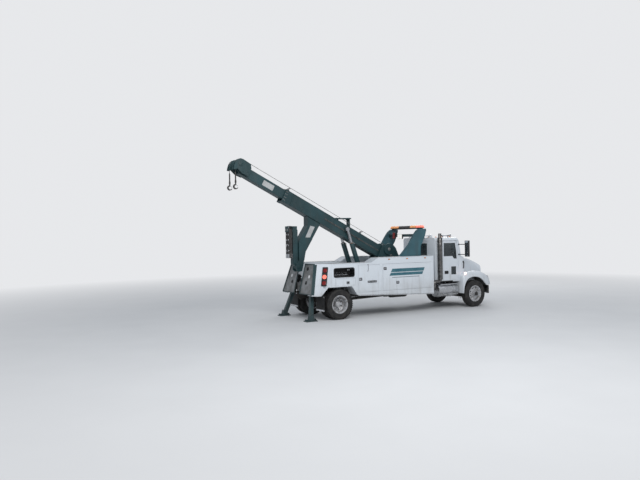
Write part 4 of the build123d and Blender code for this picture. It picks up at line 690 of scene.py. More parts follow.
stack_paint = plated("stack_steel", (0.20, 0.195, 0.19), (0.09, 0.085, 0.08), (0.035, 0.030, 0.028))
chrome_paint = plated("bright_chrome", (0.60, 0.61, 0.63), (0.30, 0.30, 0.31), (0.58, 0.58, 0.59))
dress(stack_paint, "exhaust_stack", edge=0.004)
clamps, slot_shade_quads = works(2)
for z in (1.52, 2.32):
    clamps.turned(evenly((-0.018, SHIELD), (-0.018, SHIELD + 0.003)), (STACK_X, STACK_Y, z), UP, 40)
    lug_x, lug_y = (STACK_X - 0.112, STACK_X - 0.088), (STACK_Y - 0.006, STACK_Y + 0.006)
    clamps.block(lug_x, lug_y, (z - 0.018, z + 0.018))
    clamps.bolts([(STACK_X - 0.100, STACK_Y - 0.006, z)], (0, -1, 0), 0.016)
for z in (1.125, 2.625):
    hem = evenly((-0.012, SHIELD - 0.002), (-0.009, SHIELD + 0.003))
    clamps.turned(hem, (STACK_X, STACK_Y, z), UP, 40)
cut_end = ((2.785, 0.056), (2.785, 0.0595), (2.8, 0.0595), (2.8, 0.0545), (2.70, 0.0545), (2.70, 0.056))
clamps.turned(cut_end, (STACK_X, STACK_Y, 0), UP, 40)
clamps.fit("stack_clamps", stack_paint, 0.0008)
# each slot is a flat dark quad on the shield, painted shade standing for an opening
for row in range(8):
    z = 1.215 + row * 0.185 + (0.045 if 1 < row < 6 else 0.0)
    for turn in (1.05, 0.6, 0.15, -0.3, -0.75, -1.2):
        away = Vector((math.cos(math.pi + turn), math.sin(math.pi + turn), 0))
        wide, tall = Vector((-away.y, away.x, 0)) * 0.007, Vector((0, 0, 0.045))
        base = Vector((STACK_X, STACK_Y, z)) + away * (SHIELD + 0.0006)
        corners = [base - wide - tall, base + wide - tall, base + wide + tall, base - wide + tall]
        slot_shade_quads.faces(corners, [(0, 1, 2, 3)])
slot_shade_quads.fit("shield_slots_painted_shade", hub_and_opening_shade_paint)

# Cab: welded sheet panels in cool white enamel, with gutters, door seams, roof lamps and
# horns bolted on top, and tinted glass set in black rubber.
DOOR_GLASS_Y, DOOR_SKIN_Y, ROOF_LAMP_Z = 0.922, 0.936, 2.712


def white_enamel():
    paint = Paint("white_enamel", "body_white", Coat_Roughness=0.06, Specular_IOR_Level=0.5)
    height = paint.axes()[2]
    film = paint.clouds(2.4, 9) * (1 - height.between(0.5, 1.7)) * 0.9
    runs = paint.clouds(9.0, 5, (1.0, 1.0, 0.10)).between(0.52, 0.80) * 0.30
    spatter = (1 - paint.specks(60.0).between(0.05, 0.16)) * (1 - height.between(0.6, 1.15)) * 0.6
    dirt = (film + runs + spatter).between(0.12, 1.0)
    clean = paint.blend(paint.clouds(0.8, 3), (0.66, 0.71, 0.76), (0.71, 0.75, 0.79))
    colour = paint.blend(dirt, clean, (0.27, 0.26, 0.24))
    paint.apply(Base_Color=colour, Roughness=0.26 + dirt * 0.5, Coat_Weight=0.7 - dirt * 0.6)
    return paint.relief(paint.clouds(7.0, 2) + paint.clouds(240.0, 2) * 0.15, 0.0009)


def lens(name, colour, glow):
    """A moulded lamp lens with fine ribs, a little lit from inside."""
    paint = Paint(name, "lamp_lens", IOR=1.49, Transmission_Weight=0.25, Emission_Strength=glow)
    ribs = paint.clouds(30.0, 3, (1.0, 1.0, 0.3))
    mixed = paint.blend(ribs, colour, tuple(0.55 * part for part in colour))
    paint.apply(Base_Color=mixed, Emission_Color=mixed, Roughness=0.10 + ribs * 0.12)
    return paint.relief((paint.axes()[2] * 160.0) % 1.0, 0.0010)


white_paint = white_enamel()
seal_paint = weathered(
    "black_rubber", "dark_plastic", (0.012, 0.012, 0.013), (0.055, 0.054, 0.052),
    (18.0, 7, 0.4, 0.8), (0.55, 0.3), (120.0, 4, 0.0005), Specular_IOR_Level=0.35,
)
glass_paint = weathered(
    "tinted_glass", None, (0.16, 0.19, 0.20), (0.22, 0.24, 0.25), (4.0, 8, 0.45, 0.9), (0.02, 0.12),
    IOR=1.45, Transmission_Weight=0.78, Specular_IOR_Level=0.6,
)
amber_lens = lens("amber_lens", (0.95, 0.30, 0.02), 0.35)
lit_red = lens("lit_red_lens", (1.0, 0.22, 0.16), 1.1)
clear_lens = lens("clear_lens", (0.86, 0.88, 0.90), 0.15)
dress(white_paint, "cab_shell", "cab_door_right", "cab_door_left", edge=0.006)


def pane(work, trim, corners, normal=OUT, rim=0.012):
    """A flat pane 5 mm thick with a rubber rim along its edge."""
    normal = Vector(normal).normalized() * 0.0025
    corners = [Vector(corner) for corner in corners]
    count = len(corners)
    faces = [tuple(range(count)), tuple(range(count, 2 * count))]
    faces += [(i, (i + 1) % count, (i + 1) % count + count, i + count) for i in range(count)]
    work.faces([corner + offset for offset in (normal, -normal) for corner in corners], faces)
    for start, end in zip(corners, corners[1:] + corners[:1]):
        along = (end - start).normalized() * rim * 0.5
        trim.bar(start - along, end + along, rim, 8)


panes, seals_and_shade_strip = works(2)
for low, high in ((-1, 0), (0, 1)):
    bottom, top = (5.532, 0.85, 1.980), (5.437, 0.79, 2.482)
    half = [(x, y * end, z) for (x, y, z), end in ((bottom, low), (bottom, high), (top, high), (top, low))]
    pane(panes, seals_and_shade_strip, half, (0.983, 0, 0.185))
rear_window = ((-0.475, 1.965), (0.475, 1.965), (0.475, 2.435), (-0.475, 2.435))
pane(panes, seals_and_shade_strip, [(4.312, y, z) for y, z in rear_window], AHEAD)
panes.fit("cab_panes", glass_paint)
for y in (-0.62, 0.10):
    seals_and_shade_strip.bar((5.600, y, 1.915), (5.606, y, 1.945), 0.014, 10)
    seals_and_shade_strip.pipe(((5.604, y, 1.943), (5.585, y + 0.16, 2.02), (5.548, y + 0.34, 2.14)), 0.005, 8)
    seals_and_shade_strip.pipe(((5.575, y + 0.12, 2.005), (5.537, y + 0.32, 2.15), (5.505, y + 0.50, 2.31)), 0.007, 6)
# a black strip along each side under the door seam: painted shade between the cab and the tank steps
for name in sides():
    seals_and_shade_strip.block((4.46, 5.13), (0.9385, 0.9460), (0.998, 1.034))
seals_and_shade_strip.fit("cab_seals_wipers_and_shade_strip", seal_paint, slot="flap_rubber")

DOOR_WINDOW = (
    (4.708, 1.953), (5.132, 1.953), (5.202, 1.853), (5.337, 1.853),
    (5.317, 2.130), (5.262, 2.437), (4.708, 2.437),
)
LOW_WINDOW = ((5.064, 1.556), (5.296, 1.556), (5.296, 1.264), (5.064, 1.264))
for name in sides():
    door = f"cab_door_{name}"
    door_glass, door_trim, handles, panels = works(4)
    for window in (DOOR_WINDOW, LOW_WINDOW):
        pane(door_glass, door_trim, [(x, DOOR_GLASS_Y, z) for x, z in window], rim=0.010)
    door_trim.bar((5.085, DOOR_GLASS_Y, 1.965), (5.085, DOOR_GLASS_Y, 2.43), 0.008, 8)
    door_glass.fit(f"door_glass_{name}", glass_paint, body=door)
    for x, top in ((4.547, 2.51), (5.3965, 1.84)):
        door_trim.bar((x, DOOR_SKIN_Y, 1.05), (x, DOOR_SKIN_Y, top), 0.0035, 6)
    door_trim.bar((4.547, DOOR_SKIN_Y, 1.043), (5.397, DOOR_SKIN_Y, 1.043), 0.0035, 6)
    door_trim.fit(f"door_rubbers_{name}", seal_paint, body=door, slot="flap_rubber")
    handles.block((4.735, 4.915), (0.938, 0.943), (1.290, 1.405))
    grip = ((4.750, 0.942), (4.762, 0.964), (4.825, 0.967), (4.888, 0.964), (4.900, 0.942))
    handles.pipe([(x, y, 1.350) for x, y in grip], 0.017, 12)
    handles.turned(((0, 0.013), (0.008, 0.012), (0.009, 0.004)), (4.775, 0.942, 1.312), OUT, 16)
    handles.fit(f"door_handle_{name}", seal_paint, 0.001, door)
    for z in (1.010, 1.735):
        panels.block((4.30, 4.535), (0.938, 0.9455), (z - 0.008, z + 0.008))
    panels.block((5.41, 5.43), (0.938, 0.9455), (1.72, 1.75))
    gutter = ((4.30, 2.545), (5.33, 2.545), (5.40, 2.518), (5.405, 2.506), (5.32, 2.530), (4.30, 2.530))
    panels.prism(gutter, 0.936, 0.958)
    panels.fit(f"cab_side_beads_{name}", white_paint, 0.003)

grab, roof, roof_bases, roof_rear, roof_glass = works(5)
rail = ((0.938, 1.30), (0.975, 1.31), (0.975, 1.36), (0.975, 1.95), (0.975, 2.02), (0.938, 2.03))
grab.pipe([(4.42, y, z) for y, z in rail], 0.013, 12)
for z in (1.30, 2.03):
    grab.turned(((0, 0.028), (0.006, 0.026), (0.008, 0.018)), (4.42, 0.939, z), OUT, 20)
grab.fit("grab_rail", chrome_paint)
for y in (-0.62, -0.17, 0.0, 0.17, 0.62):
    roof_bases.block((5.245, 5.325), (y - 0.038, y + 0.038), (2.649, 2.664))
    roof.turned(evenly((-0.03, 0), (-0.028, 0.014), (0, 0.026)), (5.285, y, 2.664), OUT, 20)
roof.fit("roof_markers", amber_lens)
HORN = (
    (0.0, 0.0), (0.0, 0.030), (0.03, 0.033), (0.05, 0.016), (0.16, 0.018), (0.30, 0.026),
    (0.38, 0.040), (0.42, 0.060), (0.424, 0.060), (0.40, 0.030), (0.36, 0.0),
)
for y in (-0.55, 0.55):
    roof_bases.turned(HORN, (4.95, y, 2.726), AHEAD, 28)
    for x in (5.01, 5.25):
        roof_bases.block((x - 0.012, x + 0.012), (y - 0.018, y + 0.018), (2.648, 2.710))
roof_bases.fit("roof_horns", chrome_paint, 0.001)
for y in (-0.62, 0.62):
    shell = ((0, 0.045), (0.05, 0.058), (0.06, 0.058), (0.065, 0.050))
    roof_rear.turned(shell, (4.400, y, ROOF_LAMP_Z), BACK, 24)
    roof_rear.bar((4.41, y, 2.63), (4.41, y, 2.70), 0.011, 10)
    roof_glass.turned(((0, 0.050), (0.008, 0.042), (0.012, 0.0)), (4.336, y, ROOF_LAMP_Z), BACK, 24)
roof_rear.fit("roof_work_lamp_shells", white_paint, 0.001)
roof_glass.fit("roof_work_lamp_lenses", clear_lens)

# Mirrors: black moulded housings on tubular arms bolted to the front pillars, a flat glass
# above and a small round one below.
MIRROR_X, MIRROR_Y = 5.5195, 1.280
mirror_glass = Paint("mirror_glass", "rod_chrome", Metallic=1.0)
mirror_glass.apply(
    Base_Color=mirror_glass.blend(mirror_glass.clouds(5.0, 6), (0.62, 0.65, 0.68), (0.50, 0.53, 0.56)),
    Roughness=0.02 + mirror_glass.clouds(9.0, 8).between(0.5, 0.9) * 0.10,
)
plastic_paint = weathered(
    "grained_plastic", "dark_plastic", (0.018, 0.018, 0.020), (0.050, 0.050, 0.052),
    (5.0, 7, 0.4, 0.8), (0.50, 0.2), (500.0, None, 0.0006), Specular_IOR_Level=0.4,
)
dress(plastic_paint, "mirror_right", "mirror_left", edge=0.006)
for name in sides():
    glasses, rims = works(2)
    width = (MIRROR_Y - 0.078, MIRROR_Y + 0.078)
    glasses.block((MIRROR_X - 0.004, MIRROR_X), width, (2.105, 2.500))
    glasses.block((MIRROR_X - 0.005, MIRROR_X), width, (1.940, 2.080))
    glasses.fit(f"mirror_glass_{name}", mirror_glass, 0.002)
    x, inner, outer = MIRROR_X - 0.001, MIRROR_Y - 0.085, MIRROR_Y + 0.085
    for low, high in ((2.095, 2.510), (1.930, 2.090)):
        for y in (inner, outer):
            rims.bar((x, y, low), (x, y, high), 0.006, 8)
        for z in (low, high):
            rims.bar((x, inner, z), (x, outer, z), 0.006, 8)
    for z in (2.000, 2.380):
        rims.turned(((-0.002, 0.030), (0.012, 0.028), (0.014, 0.015)), (5.445, 0.942, z), OUT, 16)
        rims.bolts([(5.445, 0.955, z)], across=0.016)
    rims.fit(f"mirror_rims_{name}", plastic_paint, 0.0008)

# Cab inside: two sprung seats in dark woven cloth, replaced by padded cushions, and a
# moulded dashboard with its dials, wheel and pedals.
SEAT_INNER, SEAT_OUTER, PUFF = 0.185, 0.675, 20


def seat_cloth():
    paint = Paint("seat_cloth", "seat_cloth", Sheen_Weight=0.35)
    x, y, z = paint.axes()
    weave = ((x * 420.0) % 1.0 - 0.5).size() * ((y * 420.0 + z * 420.0) % 1.0 - 0.5).size()
    worn = paint.clouds(5.0, 6).between(0.4, 0.8)
    colour = paint.blend(worn, (0.045, 0.047, 0.052), (0.095, 0.095, 0.10))
    paint.apply(Base_Color=colour, Roughness=0.82 + weave * 0.3)
    return paint.relief(weave, 0.0012)


cloth_paint = seat_cloth()


def cushion(name, corners, thick):
    """A crowned pad over a four-cornered patch, pinched at its edges, with two sewn channels."""
    mesh = bmesh.new()
    a, b, c, d = (TRUCK @ Vector(corner) for corner in corners)
    normal = (b - a).cross(d - a).normalized()
    spots = [(row, column) for row in range(PUFF + 1) for column in range(PUFF + 1)]
    grid = {}
    for face in (1, -1):
        for row, column in spots:
            u, v = column / PUFF, row / PUFF
            edge = min(u, 1 - u, v, 1 - v)
            if edge == 0 and face < 0:
                continue
            swell = 1 - max(0.0, 1 - edge / 0.16) ** 2.2
            spot = (a * (1 - u) + b * u) * (1 - v) + (d * (1 - u) + c * u) * v
            spot += ((a + b + c + d) / 4 - spot) * 0.035 * (1 - swell) * (0.3 if face < 0 else 1.0)
            crown = 0.75 + 0.25 * math.sin(math.pi * u) * math.sin(math.pi * v)
            channel = sum(math.exp(-((u - seam) / 0.018) ** 2) for seam in (0.27, 0.73))
            height = (swell * crown - 0.16 * channel * swell) if face > 0 else -0.15 * swell
            grid[face, row, column] = mesh.verts.new(spot + normal * thick * (height + 0.25))
    for face in (1, -1):
        for row, column in spots:
            if row < PUFF and column < PUFF:
                quad = ((row, column), (row, column + 1), (row + 1, column + 1), (row + 1, column))
                mesh.faces.new([grid.get((face, r, c)) or grid[1, r, c] for r, c in quad])
    bmesh.ops.recalc_face_normals(mesh, faces=mesh.faces)
    made = smooth_object(mesh, name, cloth_paint)
    soft = made.modifiers.new("soft", "SUBSURF")
    soft.levels = soft.render_levels = 1
    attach(made, "chassis")
    return made


seat_frames = Fabrication()
for name in sides():
    low, high = sorted(Fabrication.side * y for y in (SEAT_INNER, SEAT_OUTER))
    flat = [(4.515, low, 1.300), (4.990, low, 1.330), (4.990, high, 1.330), (4.515, high, 1.300)]
    seat = cushion(f"seat_cushion_{name}", flat, 0.085)
    squab = [(4.545, low, 1.400), (4.545, high, 1.400), (4.470, high, 1.880), (4.470, low, 1.880)]
    cushion(f"seat_back_{name}", squab, 0.075)
    low, high = low + 0.12, high - 0.12
    rest = [(4.475, low, 1.910), (4.475, high, 1.910), (4.455, high, 2.070), (4.455, low, 2.070)]
    cushion(f"seat_headrest_{name}", rest, 0.055)
    if name == "right":
        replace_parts(seat, "seats")
    leaves = [(4.57, 4.93, 0.08, z, z + 0.014) for z in (1.075, 1.111, 1.147, 1.183, 1.219)]
    for x1, x2, inset, z1, z2 in (
        (4.52, 4.97, 0.03, 1.255, 1.305), (4.44, 4.475, 0.05, 1.36, 1.86),
        (4.58, 4.92, 0.09, 1.046, 1.256), *leaves,
    ):
        seat_frames.block((x1, x2), (SEAT_INNER + inset, SEAT_OUTER - inset), (z1, z2))
    for y in (0.36, 0.50):
        seat_frames.bar((4.468, y, 1.84), (4.462, y, 1.94), 0.006, 8)
seat_frames.fit("seat_frames", plastic_paint, 0.004)
dress(plastic_paint, "dashboard", edge=0.006)
dials = Fabrication()
for z in (1.74, 1.63):
    for y in (0.27, 0.425, 0.58):
        dial = ((0, 0.052), (0.010, 0.052), (0.012, 0.046), (0.006, 0.044), (0.006, 0))
        dials.turned(dial, (5.432 + (z - 1.63) * 0.05, y, z), (-1, 0, 0.15), 28)
for index in range(7):
    y = -0.66 + index * 0.09
    dials.block((5.405, 5.425), (y, y + 0.055), (1.61, 1.635))
dials.bar((5.24, 0.43, 1.70), (5.30, 0.56, 1.78), 0.006, 8)
for y in (0.30, 0.45, 0.58):
    dials.block((5.50, 5.53), (y - 0.035, y + 0.035), (1.16, 1.25))
    dials.bar((5.52, y, 1.20), (5.60, y, 1.38), 0.009, 8)
dials.bar((5.02, 0.02, 1.06), (5.10, 0.05, 1.58), 0.013, 12)
knob = evenly((-0.035, 0), (-0.03, 0.022), (0, 0.030))
dials.turned(knob, (5.105, 0.052, 1.60), (0.1, 0, 1), 20)
dials.fit("dials_pedals_lever", seal_paint, 0.001)

# Hood: one moulding of glass-fibre with both wings, tilting forward. It is drawn here as a
# smooth skin over the frame's plainer solid, with a nose panel, arch liners and latches.
STATIONS = (
    (5.688, 0.900, 0.960, 1.900, 0.170),
    (6.308, 0.735, 0.918, 1.785, 0.190),
    (6.860, 0.630, 0.800, 1.570, 0.150),
)
CORNER_TURNS = (0.0, 0.40, 0.80, 1.20, 1.57)


def thicken(piece, thick):
    skin = piece.modifiers.new("thickness", "SOLIDIFY")
    skin.thickness = thick
    return skin


def moulding(name, rows):
    """A smooth skin through rows of points, given thickness inward."""
    work = Fabrication()
    across = len(rows[0])
    starts = [start for start in range(len(rows) * across - across) if start % across < across - 1]
    faces = [(a, a + 1, a + 1 + across, a + across) for a in starts]
    work.faces([point for row in rows for point in row], faces)
    mesh = work.mesh
    bmesh.ops.recalc_face_normals(mesh, faces=mesh.faces)
    middle = sum((vert.co for vert in mesh.verts), Vector()) / len(mesh.verts) - Vector((0, 0, 0.5))
    if sum(face.normal.dot(face.calc_center_median() - middle) for face in mesh.faces) < 0:
        bmesh.ops.reverse_faces(mesh, faces=mesh.faces)
    made = smooth_object(mesh, name, white_paint)
    thicken(made, 0.010).offset = -1.0
    soft = made.modifiers.new("smooth", "SUBSURF")
    soft.levels = soft.render_levels = 2
    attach(made, "hood")
    return made


def bonnet_section(station):
    """Half width, bottom, top and corner radius where the bonnet is cut across."""
    (x1, *first), (x2, *second), (x3, *third) = STATIONS
    a = (station - x2) * (station - x3) / ((x1 - x2) * (x1 - x3))
    b = (station - x1) * (station - x3) / ((x2 - x1) * (x2 - x3))
    c = (station - x1) * (station - x2) / ((x3 - x1) * (x3 - x2))
    return [a * p + b * q + c * r for p, q, r in zip(first, second, third)]


bonnet_rows = []
for x in (5.690, 5.700, 5.85, 6.00, 6.15, 6.30, 6.45, 6.60, 6.72, 6.80, 6.845, 6.857):
    half, bottom, top, corner = bonnet_section(x)
    row = [(x, -half, z) for z in (bottom, (bottom + top) / 2, top - corner * 1.4)]
    for turn in CORNER_TURNS:
        in_y, down_z = corner * (1 - math.cos(turn)), corner * (1 - math.sin(turn))
        row.append((x, in_y - half, top - down_z))
    row += [(x, (corner - half) * share, top) for share in (0.85, 0.45, 0.0)]
    row += [(x, -y, z) for x, y, z in reversed(row[:-1])]
    bonnet_rows.append(row)
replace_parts(moulding("bonnet_skin", bonnet_rows), "hood_shell")
nose = Fabrication()
foot = [(-0.624, 0.81), (-0.44, 0.81), (-0.44, 0.86), (-0.40, 1.445)]
shoulder = [(0.478 + 0.146 * math.cos(turn), 1.420 + 0.146 * math.sin(turn)) for turn in CORNER_TURNS]
outline = foot + [(-y, z) for y, z in reversed(foot)] + shoulder + [(-y, z) for y, z in reversed(shoulder)]
nose.prism(outline, 6.835, 6.857, "x")
nose.block((6.80, 6.857), (-0.60, 0.60), (0.803, 0.858))
nose.fit("bonnet_nose", white_paint, 0.008, "hood", segments=3)

# Wings: each is walked from its rear foot over the wheel to the front, as places on its
# outer edge and on the wheel arch's edge, with a section across between the two.
WALK = (
    (5.446, 0.535, 5.462, 0.535), (5.446, 0.70, 5.475, 0.70), (5.446, 0.90, 5.520, 0.86),
    (5.450, 1.12, 5.600, 0.985), (5.500, 1.265, 5.690, 1.070), (5.640, 1.335, 5.800, 1.120),
    (5.850, 1.368, 5.930, 1.143), (6.060, 1.372, 6.080, 1.142), (6.280, 1.350, 6.230, 1.118),
    (6.500, 1.300, 6.360, 1.060), (6.680, 1.215, 6.470, 0.970), (6.810, 1.090, 6.545, 0.885),
    (6.872, 0.965, 6.600, 0.820), (6.892, 0.870, 6.640, 0.805), (6.894, 0.806, 6.655, 0.804),
)
WING_SECTION = (
    (1.128, 1.0), (1.172, 1.0), (1.178, 0.90), (1.166, 0.70), (1.160, 0.42),
    (1.135, 0.16), (1.080, 0.03), (0.980, 0.0), (0.780, 0.0), (0.560, 0.0),
)
for name in sides():
    rows, corners = [], []
    for edge_x, edge_z, arch_x, arch_z in WALK:
        span_x, span_z = arch_x - edge_x, arch_z - edge_z
        rows.append([(edge_x + span_x * share, y, edge_z + span_z * share) for y, share in WING_SECTION])
        for y in (0.56, 1.13):
            corners.append((arch_x - span_x * 0.015, y, arch_z - span_z * 0.015 + 0.004))
    moulding(f"wing_skin_{name}", rows)
    liner, hooks = works(2)
    liner.faces(corners, [(i, i + 1, i + 3, i + 2) for i in range(0, len(corners) - 2, 2)])
    thicken(liner.fit(f"wing_liner_{name}", seal_paint, body="hood"), 0.004)
    hooks.block((5.640, 5.676), (0.936, 0.944), (1.46, 1.52))
    hooks.block((5.630, 5.680), (0.900, 0.944), (1.68, 1.75))
    strap = ((5.655, 0.944, 1.49), (5.660, 0.962, 1.52), (5.668, 0.962, 1.68), (5.672, 0.944, 1.73))
    hooks.pipe(strap, 0.016, 8)
    hooks.fit(f"hood_latch_{name}", seal_paint, 0.001, "hood")

# Grille: a chromed frame round upright bars, with a fine mesh behind; headlamps and turn
# lamps stand in the front of each wing.
GRILLE_X, TUBE = 6.853, 0.0155
dress(chrome_paint, "grille", edge=0.002)
surround, mesh_screen = works(2)
frame_line = [(-0.437, 0.845), (0.437, 0.845), (0.397, 1.455), (-0.397, 1.455)]
for (y, z), (y2, z2) in zip(frame_line, frame_line[1:] + frame_line[:1]):
    surround.bar((GRILLE_X, y, z), (GRILLE_X, y2, z2), TUBE, 12)
    surround.turned(evenly((-TUBE, 0), (-0.011, 0.011), (0, TUBE)), (GRILLE_X, y, z), UP, 12)
for z in (0.96, 1.08, 1.20, 1.32):
    surround.block((6.842, 6.848), (-0.41, 0.41), (z - 0.004, z + 0.004))
surround.fit("grille_frame", chrome_paint, 0.001, "hood")
for index in range(36):
    y = -0.41 + index * 0.0234
    mesh_screen.block((6.818, 6.821), (y - 0.0012, y + 0.0012), (0.86, 1.44))
for index in range(25):
    z = 0.865 + index * 0.0234
    mesh_screen.block((6.821, 6.824), (-0.43, 0.43), (z - 0.0012, z + 0.0012))
mesh_screen.fit("insect_screen", frame_paint, body="hood")
dress(clear_lens, "headlamps", edge=0.006)
lit_marker = lens("lit_marker_lens", (1.0, 0.70, 0.66), 1.8)
LAMP_CORNERS, LAMP_INNER, LAMP_OUTER = ((6.893, 0.962), (6.812, 1.152)), 0.725, 1.035
for name in sides():
    bezel, bowl, turn_lamp, marker = works(4)
    (x1, z1), (x2, z2) = LAMP_CORNERS
    for y in (LAMP_INNER, LAMP_OUTER):
        bezel.bar((x1, y, z1), (x2, y, z2), 0.008, 10)
    for x, z in LAMP_CORNERS:
        bezel.bar((x, LAMP_INNER, z), (x, LAMP_OUTER, z), 0.008, 10)
    bezel.fit(f"headlamp_bezel_{name}", chrome_paint, body="hood")
    for y in (0.805, 0.955):
        reflector = ((0.0, 0.056), (0.006, 0.060), (0.012, 0.056), (0.002, 0.030), (0.0, 0.0))
        bowl.turned(reflector, (6.842, y, 1.058), (0.92, 0, 0.40), 28)
    bowl.fit(f"headlamp_bowls_{name}", chrome_paint, body="hood")
    dome = ((0, 0.034), (0.012, 0.033), (0.020, 0.022), (0.023, 0.0))
    turn_lamp.turned(dome, (6.700, 1.118, 1.060), (0.55, 0.83, 0.1), 24)
    turn_lamp.fit(f"turn_lamp_{name}", amber_lens, body="hood")
    dome = ((0, 0.050), (0.010, 0.049), (0.022, 0.034), (0.028, 0.0))
    marker.turned(dome, (5.555, 1.156, 1.290), (-0.1, 1, 0), 24)
    marker.fit(f"wing_marker_{name}", lit_marker, body="hood")

# Bumper: a pressed dark steel section with swept ends, fog lamps, two towing eyes and a
# bare plate place, bolted to the rail ends.
FOG_PLACE, SWEEP = (6.893, 0.76, 0.635), (0.96, 0.28, 0)


def bumper_black():
    paint = Paint("bumper_black", "dark_plastic", Metallic=0.2, Coat_Roughness=0.2)
    chips = (1 - paint.specks(28.0).between(0.03, 0.10)) * paint.clouds(8.0, 6).between(0.45, 0.6)
    dust = paint.clouds(5.0, 8).between(0.35, 0.8)
    base = paint.blend(dust, (0.020, 0.021, 0.023), (0.075, 0.072, 0.068))
    colour = paint.blend(chips, base, (0.24, 0.20, 0.17))
    paint.apply(Base_Color=colour, Roughness=0.30 + dust * 0.35 + chips * 0.2)
    return paint.relief(paint.clouds(50.0, 5) - chips * 0.8, 0.0008)


bumper_paint = bumper_black()
dress(bumper_paint, "front_bumper", edge=0.010)
bumper_work, fog = works(2)
for name in sides():
    bumper_work.turned(((0.0, 0.070), (0.012, 0.070), (0.014, 0.060), (0.004, 0.056)), FOG_PLACE, SWEEP, 28)
    bumper_work.bolts(
        [(x, y, z) for x, y in ((6.928, 0.64), (6.838, 0.95)) for z in (0.53, 0.735)], SWEEP, 0.028
    )
    fog.turned(((0.006, 0.057), (0.016, 0.040), (0.019, 0.0)), FOG_PLACE, SWEEP, 28)
bumper_work.block((6.948, 6.9498), (-0.17, 0.17), (0.56, 0.72))
bumper_work.fit("bumper_fittings", bumper_paint, 0.0015)
fog.fit("fog_lamps", clear_lens)

# Wrecker body: two hollow side boxes of folded steel in the cab's white, capped with
# chequer plate, with seams at the bulkheads, a rub rail below and small lamps above.
SKIN = 1.2195
LATCHES = {
    "mid": (("tall", 1.100, 1.675), ("long", 1.275, 1.200), ("paddle", 0.800, 1.300)),
    "front": (("paddle", 1.815, 1.620), ("paddle", 2.350, 1.120)),
}
TOP_TRIM = (
    (-0.35, 1.832), (1.255, 1.832), (1.555, 1.982), (3.970, 1.982),
    (3.970, 2.002), (1.548, 2.002), (1.248, 1.852), (-0.35, 1.852),
)
ARCH_TRIM = (
    (-0.42, 1.105), (-0.42, 1.082), (0.455, 1.082), (0.655, 0.790),
    (0.675, 0.790), (0.675, 0.802), (0.470, 1.105),
)


def rounded(low, high, radius, steps=5):
    """Corners of a rounded rectangle between two opposite corners."""
    line = []
    for quarter, (ends_x, ends_z) in enumerate(((high, high), (low, high), (low, low), (high, low))):
        cx = ends_x[0] + (radius if ends_x is low else -radius)
        cz = ends_z[1] + (radius if ends_z is low else -radius)
        for step in range(steps + 1):
            turn = math.pi / 2 * (quarter + step / steps)
            line.append((cx + radius * math.cos(turn), cz + radius * math.sin(turn)))
    return line


def rim(work, low, high, radius, width, inner_radius, near=SKIN, far=1.2245):
    """A rounded rectangular frame of even width."""
    inside = rounded([end + width for end in low], [end - width for end in high], inner_radius)
    work.ring(rounded(low, high, radius), inside, near, far)


def paddle_latch(work, pan, x, z):
    """A recessed paddle with its lock, in a pan with a raised rim."""
    rim(pan, (x - 0.062, z - 0.048), (x + 0.062, z + 0.048), 0.012, 0.012, 0.010)
    pan.block((x - 0.050, x + 0.050), (SKIN, 1.2208), (z - 0.036, z + 0.036))
    work.prism(rounded((x - 0.038, z - 0.020), (x + 0.038, z + 0.030), 0.008), 1.2208, 1.2262)
    work.turned(((0, 0.009), (0.004, 0.008), (0.005, 0.003)), (x, 1.2262, z + 0.014), OUT, 14)


def draw_handle(work, start, end):
    """A bent rod between two round feet."""
    (x1, z1), (x2, z2) = start, end
    near, far = 1.221, 1.258
    spots = ((0.0, near), (0.02, far), (0.12, far), (0.88, far), (0.98, far), (1.0, near))
    work.pipe([(x1 + (x2 - x1) * share, y, z1 + (z2 - z1) * share) for share, y in spots], 0.008)
    for x, z in (start, end):
        work.turned(((0, 0.022), (0.004, 0.021), (0.005, 0.012)), (x, 1.2205, z), OUT, 16)


